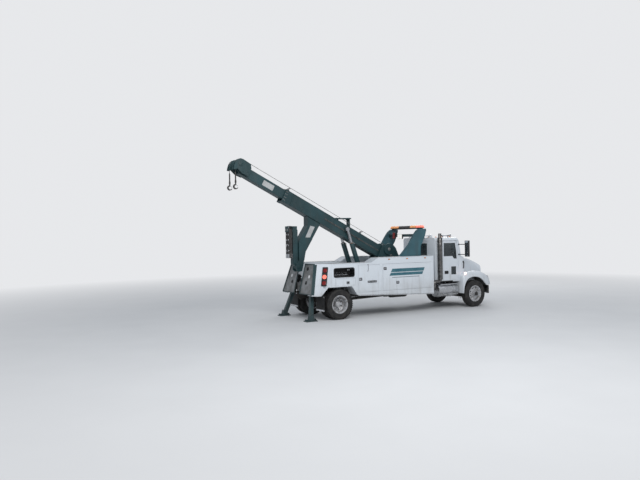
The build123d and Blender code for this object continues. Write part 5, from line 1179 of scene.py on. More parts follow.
dress(white_paint, "body_box_right", "body_box_left", edge=0.003)
for name in sides():
    dress(white_paint, f"mid_door_{name}", f"front_door_{name}", f"control_flap_{name}", edge=0.003)
    caps, trims, strip, lamps, lamp_bases = works(5)
    for start, end, z in ((-0.345, 1.235, 1.851), (1.565, 3.965, 2.001)):
        caps.block((start, end), (0.770, 1.210), (z, z + 0.0045))
    rear_cap = ((-0.725, 0.775), (-0.340, 0.775), (-0.340, 1.205), (-0.715, 0.800))
    caps.prism(rear_cap, 1.851, 1.8555, "z")
    caps.fit(f"box_top_plate_{name}", plate_paint, 0.0015)
    seam = ((0.668, 0.782), (3.970, 0.652), (3.970, 0.680), (0.668, 0.812))
    for outline in (TOP_TRIM, seam, ARCH_TRIM):
        trims.prism(outline, SKIN, 1.2255)
    for x, top in ((0.668, 1.815), (1.680, 1.96), (3.925, 1.96)):
        trims.block((x - 0.004, x + 0.004), (SKIN, 1.2255), (0.84, top))
    trims.fit(f"box_trim_{name}", white_paint, 0.002)
    strip.prism(((0.70, 0.748), (3.95, 0.620), (3.95, 0.645), (0.70, 0.776)), 1.205, 1.230)
    screws = [(x, 1.229, 0.790 - 0.0394 * x) for x in (0.80, 1.45, 2.10, 2.75, 3.40, 3.90)]
    strip.bolts(screws, across=0.016)
    strip.fit(f"rub_rail_{name}", tank_paint, 0.004)
    for x in (1.989, 2.769, 3.578):
        lamp_bases.block((x - 0.038, x + 0.038), (SKIN, 1.2265), (1.918, 1.950))
        bulb = evenly((-0.030, 0.0), (-0.028, 0.007), (-0.02, 0.012))
        lamps.turned(bulb, (x, 1.2265, 1.934), AHEAD, 14)
    lamp_bases.fit(f"box_lamp_bases_{name}", seal_paint, 0.001)
    lamps.fit(f"box_lamps_{name}", amber_lens)

    # tool door furniture: long draw handles, recessed paddle latches and pressed swages
    for door, x1, x2 in (("mid", 0.755, 1.595), ("front", 1.755, 3.835)):
        body = f"{door}_door_{name}"
        work, dark, folds = works(3)
        for kind, x, z in LATCHES[door]:
            if kind == "paddle":
                paddle_latch(work, dark, x, z)
            elif kind == "tall":
                draw_handle(work, (x, z - 0.105), (x, z + 0.105))
            else:
                dark.prism(rounded((x - 0.190, z - 0.034), (x + 0.190, z + 0.034), 0.020), SKIN, 1.2240)
                draw_handle(work, (x - 0.150, z), (x + 0.150, z))
        work.fit(f"{body}_handles", chrome_paint, 0.0006, body)
        dark.fit(f"{body}_latch_pans", seal_paint, 0.0006, body)
        rim(folds, (x1, 0.895), (x2, 1.745), 0.03, 0.015, 0.022, far=1.2225)
        folds.fit(f"{door}_door_swage_{name}", white_paint, 0.0012, body)
    flap, folds = works(2)
    rim(flap, (0.245, 1.165), (0.355, 1.255), 0.012, 0.010, 0.010)
    flap.prism(rounded((0.262, 1.185), (0.338, 1.235), 0.008), 1.2200, 1.2262)
    flap.fit(f"flap_latch_{name}", seal_paint, 0.0006, f"control_flap_{name}")
    rim(folds, (-0.150, 1.140), (0.570, 1.330), 0.02, 0.012, 0.015, far=1.2222)
    folds.fit(f"flap_swage_{name}", white_paint, 0.001, f"control_flap_{name}")

# Plain coloured bands on the front tool doors: cut vinyl, two slanted teal bands and a
# thin grey line, standing for nothing.


def vinyl(name, slot, colour, faded):
    return weathered(
        name, slot, colour, faded, (6.0, 9, 0.4, 0.85), (0.32, 0.3), (160.0, 3, 0.0003),
        Coat_Roughness=0.1, Coat_Weight=0.4,
    )


teal_band = vinyl("teal_band", "boom_green", (0.025, 0.12, 0.16), (0.07, 0.19, 0.22))
grey_band = vinyl("grey_band", "boom_green", (0.20, 0.24, 0.27), (0.32, 0.35, 0.37))
for name in sides():
    broad, thin = works(2)
    for work, outline in (
        (broad, ((2.06, 1.48), (3.50, 1.48), (3.56, 1.60), (2.12, 1.60))),
        (broad, ((2.00, 1.36), (3.44, 1.36), (3.49, 1.46), (2.05, 1.46))),
        (thin, ((2.10, 1.285), (3.30, 1.285), (3.312, 1.310), (2.112, 1.310))),
    ):
        work.prism(outline, 1.2196, 1.2212)
    broad.fit(f"teal_bands_{name}", teal_band, body=f"front_door_{name}")
    thin.fit(f"grey_band_{name}", grey_band, body=f"front_door_{name}")

# Control bay: an open recess over each rear wheel, lined in black, with a row of valve
# levers, two gauges and a switch panel.
BAY_BACK = 0.965
for name in sides():
    bay, levers, knobs, dial_faces = works(4)
    rim(bay, (-0.2485, 1.3915), (0.5685, 1.7085), 0.0685, 0.0185, 0.052, 1.196, 1.2240)
    bay.block((-0.248, 0.568), (0.955, BAY_BACK), (1.392, 1.708))
    for x in (-0.2485, 0.5655):
        bay.block((x, x + 0.003), (0.96, 1.194), (1.46, 1.64))
    bay.prism(((0.96, 1.392), (1.194, 1.392), (1.194, 1.400), (0.96, 1.450)), -0.18, 0.50, "x")
    bay.block((-0.18, 0.50), (0.96, 1.194), (1.702, 1.708))
    bay.block((-0.16, 0.40), (0.990, 1.090), (1.405, 1.470))
    bay.fit(f"bay_lining_{name}", seal_paint, 0.002)
    for index in range(9):
        x = -0.130 + index * 0.062
        top = x + 0.012 * math.sin(index * 2.1)
        levers.bar((x, 1.04, 1.468), (top, 1.075, 1.565), 0.006, 8)
        levers.block((x - 0.014, x + 0.014), (1.015, 1.065), (1.468, 1.482))
        knob = ((-0.018, 0.0), (-0.016, 0.010), (0.0, 0.015), (0.014, 0.011), (0.018, 0.0))
        knobs.turned(knob, (top, 1.078, 1.576), (0, 0.3, 1), 14)
    for x in (0.450, 0.510):
        case = ((0, 0.026), (0.012, 0.026), (0.014, 0.022), (0.008, 0.020))
        levers.turned(case, (x, BAY_BACK, 1.62), OUT, 22)
        dial_faces.turned(((0.008, 0.0205), (0.009, 0.0)), (x, BAY_BACK, 1.62), OUT, 22)
    for z in (1.50, 1.535):
        for x in (0.425, 0.455, 0.485, 0.515):
            knobs.turned(((0, 0.008), (0.012, 0.007), (0.014, 0.0)), (x, BAY_BACK, z), OUT, 12)
    levers.fit(f"bay_levers_{name}", chrome_paint, 0.0005)
    knobs.fit(f"bay_knobs_{name}", plastic_paint)
    dial_faces.fit(f"bay_gauge_faces_{name}", clear_lens)

# Tail: grey sheet panels with round anchor sockets, a bright strip and a lamp cluster on
# each slanted corner, and green corner posts.
TAIL_TOP, TAIL_LOW, CORNER_FRONT = (-0.730, 0.810, 1.830), (-0.980, 1.050, 0.850), (-0.350, 1.220, 1.830)
TAIL_STEEPNESS = 0.969
SOCKET = ((0.0, 0.062), (0.010, 0.060), (0.012, 0.046), (0.0, 0.044), (0.0, 0.0))
PLUG = ((0.0, 0.058), (0.008, 0.056), (0.016, 0.040), (0.018, 0.0))


def corner_axes():
    """Axes on the slanted rear corner of the side in hand: along its top edge, outward and up."""
    top, low, front = (Fabrication().outward(spot) for spot in (TAIL_TOP, TAIL_LOW, CORNER_FRONT))
    along = (front - top).normalized()
    out = (low - top).cross(front - top).normalized()
    if out.x > 0:
        out = -out
    rise = out.cross(along)
    if rise.z < 0:
        rise = -rise
    return TRUCK @ Matrix.Translation(top) @ Matrix((along, out, rise)).transposed().to_4x4()


def grey_sheet():
    paint = Paint("tail_grey", None, Coat_Weight=0.25, Coat_Roughness=0.2)
    mud = paint.clouds(5.0, 9).between(0.38, 0.72)
    scratches = paint.clouds(40.0, 3, (1.0, 0.15, 1.0)).between(0.60, 0.75) * 0.5
    colour = paint.blend((mud + scratches) * 0.8, (0.215, 0.225, 0.23), (0.10, 0.095, 0.088))
    paint.apply(Base_Color=colour, Roughness=0.42 + mud * 0.35)
    return paint.relief(paint.clouds(20.0, 5), 0.001)


def teal_enamel(name, deep, pale):
    """Dark teal enamel: faded above, oily in streaks, dusty low down and chipped."""
    paint = Paint(name, "boom_green", Coat_Roughness=0.35)
    height = paint.axes()[2]
    faded = paint.clouds(1.6, 9).between(0.35, 0.75)
    oily = paint.clouds(6.0, 6, (1.0, 1.0, 0.2)).between(0.5, 0.8)
    chips = (1 - paint.specks(34.0).between(0.02, 0.085)) * paint.clouds(4.0, 8).between(0.48, 0.62)
    dust = paint.clouds(11.0, 8) * (1 - height.between(0.2, 1.6))
    green = paint.blend(faded, deep, pale)
    dirty = paint.blend((oily * 0.5 + dust * 0.9).between(0.0, 1.2), green, (0.050, 0.056, 0.054))
    paint.apply(
        Base_Color=paint.blend(chips, dirty, (0.21, 0.20, 0.185)),
        Roughness=0.46 + faded * 0.08 + oily * 0.05 + chips * 0.1,
        Coat_Weight=0.16 - faded * 0.06,
    )
    return paint.relief(paint.clouds(26.0, 4) * 0.3 - chips, 0.0002)


dress(grey_sheet(), "tail_panels", edge=0.002)
green_paint = teal_enamel("teal_enamel", (0.008, 0.034, 0.039), (0.018, 0.060, 0.069))
dark_red = lens("dark_red_lens", (0.30, 0.010, 0.008), 0.05)
posts = Fabrication()
for name in sides():
    strip, band, housing, red, lit = works(5, corner_axes(), 1)
    strip.block((0.082, 0.258), (-0.001, 0.005), (-1.035, -0.004))
    band.block((-0.006, 0.080), (-0.001, 0.007), (-1.036, -0.002))
    band.fit(f"corner_post_{name}", green_paint, 0.003)
    strip.fit(f"corner_strip_{name}", white_paint, 0.003)
    housing.prism(rounded((0.285, -0.735), (0.475, -0.085), 0.030), -0.001, 0.009)
    for z, work in ((-0.205, red), (-0.420, lit), (-0.628, red)):
        bowl = ((0.006, 0.086), (0.016, 0.084), (0.018, 0.074), (0.010, 0.072))
        housing.turned(bowl, (0.380, 0, z))
        work.turned(((0.010, 0.073), (0.020, 0.066), (0.026, 0.040), (0.028, 0.0)), (0.380, 0, z))
    housing.bolts([(x, 0.008, z) for x in (0.297, 0.463) for z in (-0.097, -0.723)], across=0.012)
    housing.fit(f"tail_lamp_housing_{name}", seal_paint, 0.001)
    red.fit(f"tail_lamps_{name}", dark_red)
    lit.fit(f"brake_lamp_{name}", lit_red)
    cap = ((-0.770, 0.800), (-0.728, 0.760), (-0.724, 0.812), (-0.745, 0.830))
    posts.prism(cap, 1.80, 1.857, "z")
    for start, end, radius in (
        ((-0.752, 0.806, 1.840), (-0.999, 1.046, 0.853), 0.019),
        ((-0.748, 0.215, 1.842), (-0.748, 0.806, 1.842), 0.014),
        ((-0.998, 0.215, 0.860), (-0.998, 1.046, 0.860), 0.014),
        ((-0.750, 0.208, 1.842), (-0.998, 0.208, 0.860), 0.014),
    ):
        posts.bar(start, end, radius, 12)
posts.fit("tail_edging", green_paint, 0.002)

slant, tail_out = Vector((-0.25, 0, -0.98)).normalized(), Vector((-0.98, 0, 0.25)).normalized()
sockets, plugs = works(2)
for name in sides():
    for work, outline, y, drop in (
        (sockets, SOCKET, 0.430, 0.150 / TAIL_STEEPNESS),
        (sockets, SOCKET, 0.500, 0.610 / TAIL_STEEPNESS),
        (plugs, PLUG, 0.62, 0.42),
    ):
        spot = Vector((-0.730, y, 1.830)) + slant * drop + tail_out * 0.008
        work.turned(outline, spot, tail_out, 28)
sockets.fit("tail_sockets", seal_paint, 0.001)
plugs.fit("reversing_lamps", clear_lens)

# Mudflaps: stiff black rubber on a folded hanger, with a bright weight strip at the hem.
dress(seal_paint, "mudflaps", edge=0.002)
flap_trim = Fabrication()
for name in sides():
    for low, high in ((0.305, 0.360), (0.760, 0.798)):
        flap_trim.block((-0.6135, -0.6065), (0.655, 1.195), (low, high))
    screws = [(-0.6135, y, z) for y in (0.70, 0.85, 1.0, 1.15) for z in (0.332, 0.779)]
    flap_trim.bolts(screws, BACK, 0.016)
flap_trim.fit("mudflap_strips", tank_paint, 0.001)

# Deck: chequer plate between the boxes, on black subframe rails bolted to the chassis.
deck_paint = tread_plate("deck_plate", (0.24, 0.25, 0.25), (0.14, 0.14, 0.135), 0.2)
dress(frame_paint, "spade_sleeves", edge=0.003)
dress(deck_paint, "deck", edge=0.002)
deck_work = Fabrication()
for name in sides():
    for x in (-0.35, 0.55, 1.45, 2.35, 3.25, 3.85):
        deck_work.block((x - 0.06, x + 0.06), (0.4305, 0.4425), (0.74, 1.18))
        holes = [(x + dx, 0.4425, z) for dx in (-0.035, 0.035) for z in (0.79, 0.86, 0.98, 1.10)]
        deck_work.bolts(holes)
    deck_work.bar((-0.46, 0.60, 1.17), (3.95, 0.60, 1.17), 0.018, 12)
deck_work.fit("subframe_brackets", frame_paint, 0.0015)

# Mast: two thick green plates on the deck with a cross plate, welded all round, carrying
# the boom's pin in flanged bosses and the feet of the lift cylinders.
PIN_X, PIN_Z = 2.660, 2.260
BOOM_PIN = (PIN_X, 0, PIN_Z)
dress(green_paint, "mast", edge=0.004)
steel_paint = Paint("worn_steel", "worn_steel", Metallic=0.85)


def worn_steel(paint):
    """Bare steel: scuffed bright where it rubs, rusty in patches elsewhere."""
    rust = paint.clouds(9.0, 9).between(0.52, 0.72)
    scuff = paint.clouds(60.0, 5, (1.0, 1.0, 0.2))
    bare = paint.blend(scuff, (0.46, 0.46, 0.45), (0.30, 0.295, 0.29))
    colour, roughness = paint.blend(rust, bare, (0.13, 0.075, 0.045)), 0.34 + rust * 0.45 + scuff * 0.1
    paint.apply(Base_Color=colour, Roughness=roughness, Metallic=0.9 - rust * 0.8)
    paint.relief(scuff * 0.5 + rust * 0.5, 0.0010)


worn_steel(steel_paint)
mast_work, pins = works(2)
for name in sides():
    mast_work.turned(((0.319, 0.150), (0.326, 0.150), (0.328, 0.142)), BOOM_PIN, OUT, 40)
    mast_work.turned(((0.268, 0.212), (0.276, 0.207), (0.283, 0.205)), BOOM_PIN, OUT, 48)
    circle = [(PIN_X + across, 0.328, PIN_Z + up) for across, up in around(8, 0.122, 0.2)]
    mast_work.bolts(circle, across=0.024)
    mast_work.prism(((1.95, 1.3005), (3.42, 1.3005), (3.42, 1.314), (1.95, 1.314)), 0.271, 0.330)
    mast_work.bolts([(x, 0.302, 1.314) for x in (2.02, 2.26, 3.02, 3.20, 3.36)], UP, 0.030)
    mast_work.bar((1.902, 0.272, 1.306), (3.448, 0.272, 1.306), 0.006, 8)
    mast_work.bar((2.352, 0.2705, 2.300), (1.902, 0.2705, 1.306), 0.005, 8)
    for rib in (
        ((2.06, 1.314), (2.16, 1.314), (2.42, 2.20), (2.36, 2.20)),
        ((3.28, 1.314), (3.38, 1.314), (3.02, 2.18), (2.95, 2.18)),
    ):
        mast_work.prism(rib, 0.269, 0.285)
    pins.turned(((0.326, 0.060), (0.338, 0.058), (0.340, 0.050), (0.336, 0.0)), BOOM_PIN)
    pins.turned(((0.338, 0.006), (0.350, 0.006), (0.354, 0.0)), BOOM_PIN, OUT, 10)
    for y, heading in ((0.2295, (0, -1, 0)), (0.3305, OUT)):
        pins.turned(((0.0, 0.030), (0.010, 0.030), (0.012, 0.024)), (1.420, y, 1.460), heading, 24)
mast_work.fit("mast_bosses_and_welds", green_paint, 0.0015)
pins.fit("mast_pins", steel_paint, 0.001)

# Winches: grooved drums wound with wire rope between flanges, each with its planetary
# gear case and hydraulic motor, on a bolted base outside the mast.
DRUM_X, DRUM_Z = 2.650, 1.600
DRUM = (DRUM_X, 0, DRUM_Z)
CHEEK = (
    (2.450, 1.3005), (2.850, 1.3005), (2.850, 1.335), (2.790, 1.345),
    (2.730, 1.600), (2.570, 1.600), (2.510, 1.345), (2.450, 1.335),
)


def wire_rope():
    paint = Paint("wire_rope", "worn_steel", Metallic=0.8)
    x, y, z = paint.axes()
    lay = ((x + z) * 55.0 + y * 90.0) % 1.0
    grease = paint.clouds(12.0, 6).between(0.4, 0.75)
    colour = paint.blend(grease, (0.30, 0.295, 0.285), (0.075, 0.066, 0.055))
    paint.apply(Base_Color=colour, Roughness=0.42 + grease * 0.2)
    return paint.relief((lay - 0.5).size(), 0.0014)


rope_paint = wire_rope()
winch_frame, coils, motors = works(3)
for name in sides():
    wound = [(0.330, 0.085)]
    for index in range(23):
        y = 0.366 + index * 0.0134
        wound += [(y, 0.099), (y + 0.0035, 0.1075), (y + 0.0067, 0.110), (y + 0.0099, 0.1075)]
    wound += [(0.674, 0.099), (0.700, 0.085)]
    coils.turned(wound, DRUM, OUT, 36)
    for y in (0.330, 0.670):
        wheel = ((y, 0.212), (y + 0.006, 0.214), (y + 0.024, 0.214), (y + 0.030, 0.212))
        winch_frame.turned(wheel, DRUM, OUT, 44)
        winch_frame.prism(CHEEK, y + 0.004, y + 0.026)
        winch_frame.bolts([(x, y + 0.013, 1.336) for x in (2.475, 2.825)], UP, 0.020)
    for x in (2.53, 2.77):
        winch_frame.bar((x, 0.345, 1.42), (x, 0.690, 1.42), 0.014, 12)
    gear_case = ((0.700, 0.120), (0.718, 0.118), (0.722, 0.095), (0.735, 0.090), (0.738, 0.0))
    motors.turned(gear_case, DRUM)
    circle = [(DRUM_X + across, 0.720, DRUM_Z + up) for across, up in around(8, 0.106, 0.1)]
    motors.bolts(circle, across=0.016)
    motors.turned(((0.330, 0.105), (0.310, 0.100), (0.300, 0.0)), DRUM, OUT, 28)
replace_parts(winch_frame.fit("winch_frames", frame_paint, 0.002), "winches")
coils.fit("winch_rope_coils", rope_paint)
motors.fit("winch_gear_cases", iron_paint, 0.002)

# Boom: a welded box in dark teal, hinged in the mast, with doubler plates, wear pad screws
# at its mouth, clamped hydraulic tubes along its side and a flat lamp bracket on top.
TILT = math.radians(27.2)
BOOM = TRUCK @ Matrix.Translation(BOOM_PIN) @ Matrix(
    (
        (-math.cos(TILT), 0, math.sin(TILT), 0),
        (0, -1, 0, 0),
        (math.sin(TILT), 0, math.cos(TILT), 0),
        (0, 0, 0, 1),
    )
)
DOUBLER = (
    (0.10, -0.160), (0.16, 0.06), (0.42, -0.03), (1.05, -0.06),
    (1.05, -0.37), (0.42, -0.41), (0.16, -0.41),
)
TUBE_RUN = ((0.30, 0.170), (0.34, 0.186), (0.60, 0.1885), (2.66, 0.1885), (2.72, 0.186), (2.76, 0.170))

dress(green_paint, "boom_outer", "boom_inner", "knee_arm", edge=0.005)
shell, tubes, screws = works(3, BOOM)
for name in sides():
    for outline, far in (
        (DOUBLER, 0.1885),
        (((2.82, -0.24), (3.52, -0.24), (3.58, -0.424), (2.76, -0.424)), 0.1885),
        (((4.445, 0.004), (4.560, 0.004), (4.560, -0.434), (4.445, -0.434)), 0.194),
        (((4.20, -0.010), (4.23, -0.010), (4.23, -0.420), (4.20, -0.420)), 0.194),
    ):
        shell.prism(outline, 0.1795, far)
    places = [(along, 0.194, up) for along in (4.475, 4.530) for up in (-0.07, -0.16, -0.27, -0.36)]
    screws.bolts(places, across=0.024)
    for up in (-0.004, -0.426):
        shell.bar((1.05, 0.181, up), (4.44, 0.181, up), 0.005, 8)
    for along in (1.75, 2.45, 3.75, 4.05):
        shell.block((along - 0.010, along + 0.010), (0.1795, 0.187), (-0.42, -0.01))
    for up in (-0.200, -0.228):
        tubes.pipe([(along, y, up) for along, y in TUBE_RUN], 0.0085)
    for along in (0.70, 1.25, 1.80, 2.35):
        tubes.block((along - 0.018, along + 0.018), (0.1795, 0.1980), (-0.245, -0.183))
for low, high in ((-0.002, 0.012), (-0.444, -0.428)):
    shell.block((4.445, 4.560), (-0.194, 0.194), (low, high))
places = [(along, y, 0.012) for along in (4.475, 4.530) for y in (-0.12, -0.04, 0.04, 0.12)]
screws.bolts(places, UP, 0.024)
shell.fit("boom_doublers", green_paint, 0.002, "boom")
screws.fit("boom_pad_screws", steel_paint, body="boom")
tubes.fit("boom_tubes", iron_paint, 0.001, "boom", "worn_steel")
bracket = Fabrication()
for y in (-0.125, 0.105):
    bracket.block((0.46, 1.17), (y, y + 0.020), (3.360, 3.402))
bracket.bolts([(x, y, 3.401) for x in (0.62, 1.12) for y in (-0.06, 0.06)], UP)
bracket.prism(((1.10, 3.376), (0.98, 3.376), (1.10, 3.270)), -0.008, 0.008)
bracket.fit("lamp_bracket", green_paint, 0.002, "boom")

# Inner boom: the telescoping box with a doubler at its head, weld along its edges and a
# bare white plate on each side.
blank_white = vinyl("blank_plate_white", "body_white", (0.46, 0.47, 0.47), (0.30, 0.30, 0.29))
inner_work, inner_plates = works(2, BOOM)
for name in sides():
    inner_work.block((5.86, 6.00), (0.1445, 0.1520), (-0.335, -0.040))
    for up in (-0.036, -0.338):
        inner_work.bar((4.6, 0.1455, up), (5.98, 0.1455, up), 0.004, 8)
    inner_plates.prism(rounded((4.98, -0.285), (5.40, -0.105), 0.012), 0.1448, 0.1470)
inner_work.fit("inner_boom_work", green_paint, 0.0015, "boom_extension")
inner_plates.fit("inner_boom_blank_plates", blank_white, body="boom_extension")

# Boom head: cheek plates with a sheave on each side turning on one pin, rope guards and
# keeper plates; the wire ropes run over the sheaves and back along the boom to the mast.
SHEAVE_ALONG, SHEAVE_UP = 6.385, -0.080
SHEAVE = (SHEAVE_ALONG, 0, SHEAVE_UP)
ROPE_Y, WRAP = 0.255, 0.1630
ROPE_UP = SHEAVE_UP + WRAP
ROLLER_UP = ROPE_UP - 0.0260
PIVOT_GROOVE = (
    (0.1900, 0.061), (0.2380, 0.061), (0.2380, 0.096), (0.2430, 0.100), (0.2480, 0.0870),
    (0.2605, 0.0858), (0.2635, 0.098), (0.2665, 0.098), (0.2665, 0.061),
)
WINCH_RUN = (
    (2.762, 0.480, 1.600), (2.764, 0.440, 1.78), (2.766, 0.385, 1.98),
    (2.767, 0.345, 2.03), (2.768, 0.268, 2.05),
)

dress(green_paint, "boom_head", edge=0.004)
sheaves, guards, ropes, fixed, guides = works(5, BOOM)
pivot_sheaves, drops, fairleads = works(3)
for name in sides():
    groove = evenly(
        (-0.028, 0.060), (-0.028, 0.167), (-0.024, 0.1715), (-0.016, 0.168), (-0.009, 0.158), (0.0, 0.1550)
    )
    sheaves.turned([(ROPE_Y + reach, radius) for reach, radius in groove], SHEAVE, OUT, 48)
    sheaves.turned(((0.166, 0.058), (0.226, 0.058)), SHEAVE, OUT, 24)
    guards.turned(((0.315, 0.075), (0.326, 0.074), (0.328, 0.066)), SHEAVE)
    for along, up in ((6.235, 0.066), (6.215, -0.275), (6.060, -0.200)):
        guards.bar((along, 0.1655, up), (along, 0.2945, up), 0.012, 12)
        guards.bolts([(along, 0.315, up)], across=0.026)
    keepers = [(SHEAVE_ALONG + across, 0.327, SHEAVE_UP + up) for across, up in around(4, 0.052, 0.6)]
    guards.bolts(keepers, across=0.016)
    over = []
    for step in range(12):
        turn = math.radians(90 - step * 10.65)
        over.append((SHEAVE_ALONG + WRAP * math.cos(turn), ROPE_Y, SHEAVE_UP + WRAP * math.sin(turn)))
    ropes.pipe([*((along, ROPE_Y, ROPE_UP) for along in (2.90, 4.50, 6.10)), *over], 0.0078, 10, 4)
    fixed.pipe([(along, ROPE_Y, ROPE_UP) for along in (0.0, 1.5, 3.0, 4.40)], 0.0072, 10, 4)
    for x in (1.30, 4.50):
        stand = ((x - 0.05, 0.001), (x + 0.05, 0.001), (x + 0.02, 0.078), (x - 0.02, 0.078))
        guides.prism(stand, 0.150, 0.162)
        guides.bar((x, 0.150, ROLLER_UP), (x, 0.282, ROLLER_UP), 0.009, 10)
        roller = ((0.232, 0.022), (0.242, 0.018), (0.268, 0.018), (0.278, 0.022))
        guides.turned(roller, (x, 0, ROLLER_UP), OUT, 16)
    pivot_sheaves.turned(PIVOT_GROOVE, BOOM_PIN, OUT, 36)
    drops.pipe(WINCH_RUN, 0.0075)
    fairlead = ((0.268, 0.045), (0.280, 0.044), (0.290, 0.030), (0.290, 0.014), (0.268, 0.012))
    fairleads.turned(fairlead, (2.768, 0, 2.045), OUT, 24)
guards.fit("head_guards", green_paint, 0.0012, "boom_extension")
sheaves.fit("head_sheaves", iron_paint, 0.0015, "boom_extension", "worn_steel")
ropes.fit("head_ropes", rope_paint, body="boom_extension")
fixed.fit("boom_ropes", rope_paint, body="boom")
guides.fit("rope_guides", steel_paint, 0.001, "boom")
pivot_sheaves.fit("pivot_sheaves", steel_paint, 0.001)
drops.fit("winch_drop_ropes", rope_paint)
fairleads.fit("mast_fairleads", steel_paint, 0.001)

# Hooks: forged swivel hooks with spring latches, hung from the ropes by swaged sleeves. The
# forgings are dark with grease and a little rough.
ROPE_BEHIND_SHEAVE = 0.1733
SHANK = ((4.478, 0.0), (4.478, 0.018), (4.490, 0.026), (4.550, 0.030), (4.575, 0.028), (4.600, 0.016))


def dark_forging():
    paint = Paint("dark_forging", "worn_steel", Metallic=0.5)
    grease = paint.clouds(16.0, 7).between(0.35, 0.75)
    colour = paint.blend(grease, (0.075, 0.072, 0.070), (0.022, 0.020, 0.019))
    paint.apply(Base_Color=colour, Roughness=0.55 - grease * 0.18)
    return paint.relief(paint.specks(180.0), 0.0012)


forged_paint = dark_forging()
hook_x = PIN_X - SHEAVE_ALONG * math.cos(TILT) + SHEAVE_UP * math.sin(TILT) - ROPE_BEHIND_SHEAVE
sheave_z = PIN_Z + SHEAVE_ALONG * math.sin(TILT) + SHEAVE_UP * math.cos(TILT)
for name in sides():
    body = f"hook_{name}"
    work, latch = works(2)
    sleeve = ((4.575, 0.0), (4.575, 0.013), (4.583, 0.0215), (4.820, 0.0215), (4.850, 0.014), (4.855, 0.0082))
    for outline, steps in (((*sleeve, (sheave_z, 0.0082)), 16), (SHANK, 20)):
        work.turned(outline, (hook_x, ROPE_Y, 0), UP, steps)
    bend, thick = [], []
    for step in range(15):
        turn = math.radians(92 - step * 18.0)
        radius = 0.065 + 0.005 * math.sin(turn) + max(0.0, step - 11) * 0.004
        bend.append(Vector((hook_x - radius * math.cos(turn), ROPE_Y, 4.372 + radius * math.sin(turn))))
        thick.append(0.021 + 0.012 * math.sin(math.pi * min(step / 12, 1.0)) - 0.0006 * step)
    for index in range(14):
        work.bar(bend[index], bend[index + 1], thick[index], 14, thick[index + 1])
    for spot, r in zip(bend, thick):
        work.turned(evenly((-r, 0), (-r * 0.7, r * 0.7), (0, r)), spot, OUT, 14)
    work.turned(((4.435, 0.019), (4.460, 0.021), (4.485, 0.019)), (hook_x, ROPE_Y, 0), UP, 16)
    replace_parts(work.fit(f"swivel_hook_{name}", forged_paint, body=body), body)
    tongue = [(hook_x + dx, z) for dx, z in ((0.006, 4.452), (0.018, 4.446), (0.076, 4.402), (0.068, 4.392))]
    latch.prism(tongue, ROPE_Y - 0.009, ROPE_Y + 0.009)
    latch.turned(((-0.014, 0.008), (0.014, 0.008)), (hook_x + 0.010, ROPE_Y, 4.452), OUT, 12)
    latch.fit(f"hook_latch_{name}", chrome_paint, 0.0005, body)

# Knee arm: the fabricated leg that hangs square from the boom, edged with weld and doubled
# at its foot pin, with a bare white plate on each side.
FOOT_DOUBLER = (
    (-1.03, 1.66), (-0.985, 1.60), (-0.875, 1.615), (-0.815, 1.78),
    (-0.845, 1.93), (-0.97, 1.915), (-1.03, 1.83),
)
KNEE_WELDS = (
    ((-0.948, 1.98), (-0.948, 2.555)),
    ((-0.880, 2.70), (-0.602, 3.135)),
    ((-0.701, 2.255), (-0.423, 2.695)),
    ((-0.761, 1.965), (-0.702, 2.245)),
)

knee, knee_plates = works(2)
for name in sides():
    for outline in (FOOT_DOUBLER, ((-0.895, 2.56), (-0.72, 2.46), (-0.55, 2.68), (-0.83, 2.69))):
        knee.prism(outline, 0.1495, 0.1575)
    for (x1, z1), (x2, z2) in KNEE_WELDS:
        knee.bar((x1, 0.1500, z1), (x2, 0.1500, z2), 0.005, 8)
    knee.turned(((0.1505, 0.062), (0.166, 0.062), (0.168, 0.054)), (-0.975, 0, 1.740), OUT, 28)
    knee.bolts([(-0.975, 0.168, 1.740)], across=0.040)
    corners = ((-0.700, 2.735), (-0.520, 2.735), (-0.330, 3.090), (-0.500, 3.130))
    knee_plates.prism(corners, 0.1500, 0.1522)
knee.fit("knee_welds_and_pin", green_paint, 0.0015, "boom")
knee_plates.fit("knee_blank_plates", blank_white, body="boom")

# Lift cylinders: green barrels with a bolted gland, feed tubes along them, and bright
# chromed rods that lift the boom.
GLAND = ((1.098, 0.0798), (1.101, 0.0810), (1.128, 0.0810), (1.1325, 0.0780), (1.1325, 0.0488))
FEED_RUN = ((0.20, 0.112), (0.24, 0.122), (0.40, 0.098), (0.95, 0.098), (1.03, 0.110), (1.06, 0.112))

dress(green_paint, "lift_barrels", edge=0.002)
dress(chrome_paint, "lift_rods", edge=0.001)
foot, rod_eye = Vector((1.420, 0.280, 1.460)), Vector((0.900, 0.280, 3.000))
thrust = (rod_eye - foot).normalized()
square_off = thrust.cross(Vector(OUT)).normalized()
barrel_work, glands = works(2)
for name in sides():
    glands.turned(GLAND, foot, thrust, 36)
    ring = [Vector((0, Fabrication.side * y, 0)) + square_off * off for y, off in around(8, 0.062, 0.2)]
    glands.bolts([foot + thrust * 1.1325 + spot for spot in ring], thrust, 0.012)
    barrel_work.turned(((0.138, 0.070), (0.142, 0.084), (0.172, 0.084), (0.178, 0.0795)), foot, thrust, 36)
    for reach in (0.20, 1.06):
        spot = foot + thrust * reach
        glands.bar(spot - square_off * 0.078, spot - square_off * 0.118, 0.018, 10)
    barrel_work.pipe([foot + thrust * reach - square_off * off for reach, off in FEED_RUN], 0.009)
glands.fit("cylinder_glands", steel_paint, 0.0008, "lift_barrels")
barrel_work.fit("cylinder_tubes", green_paint, body="lift_barrels")

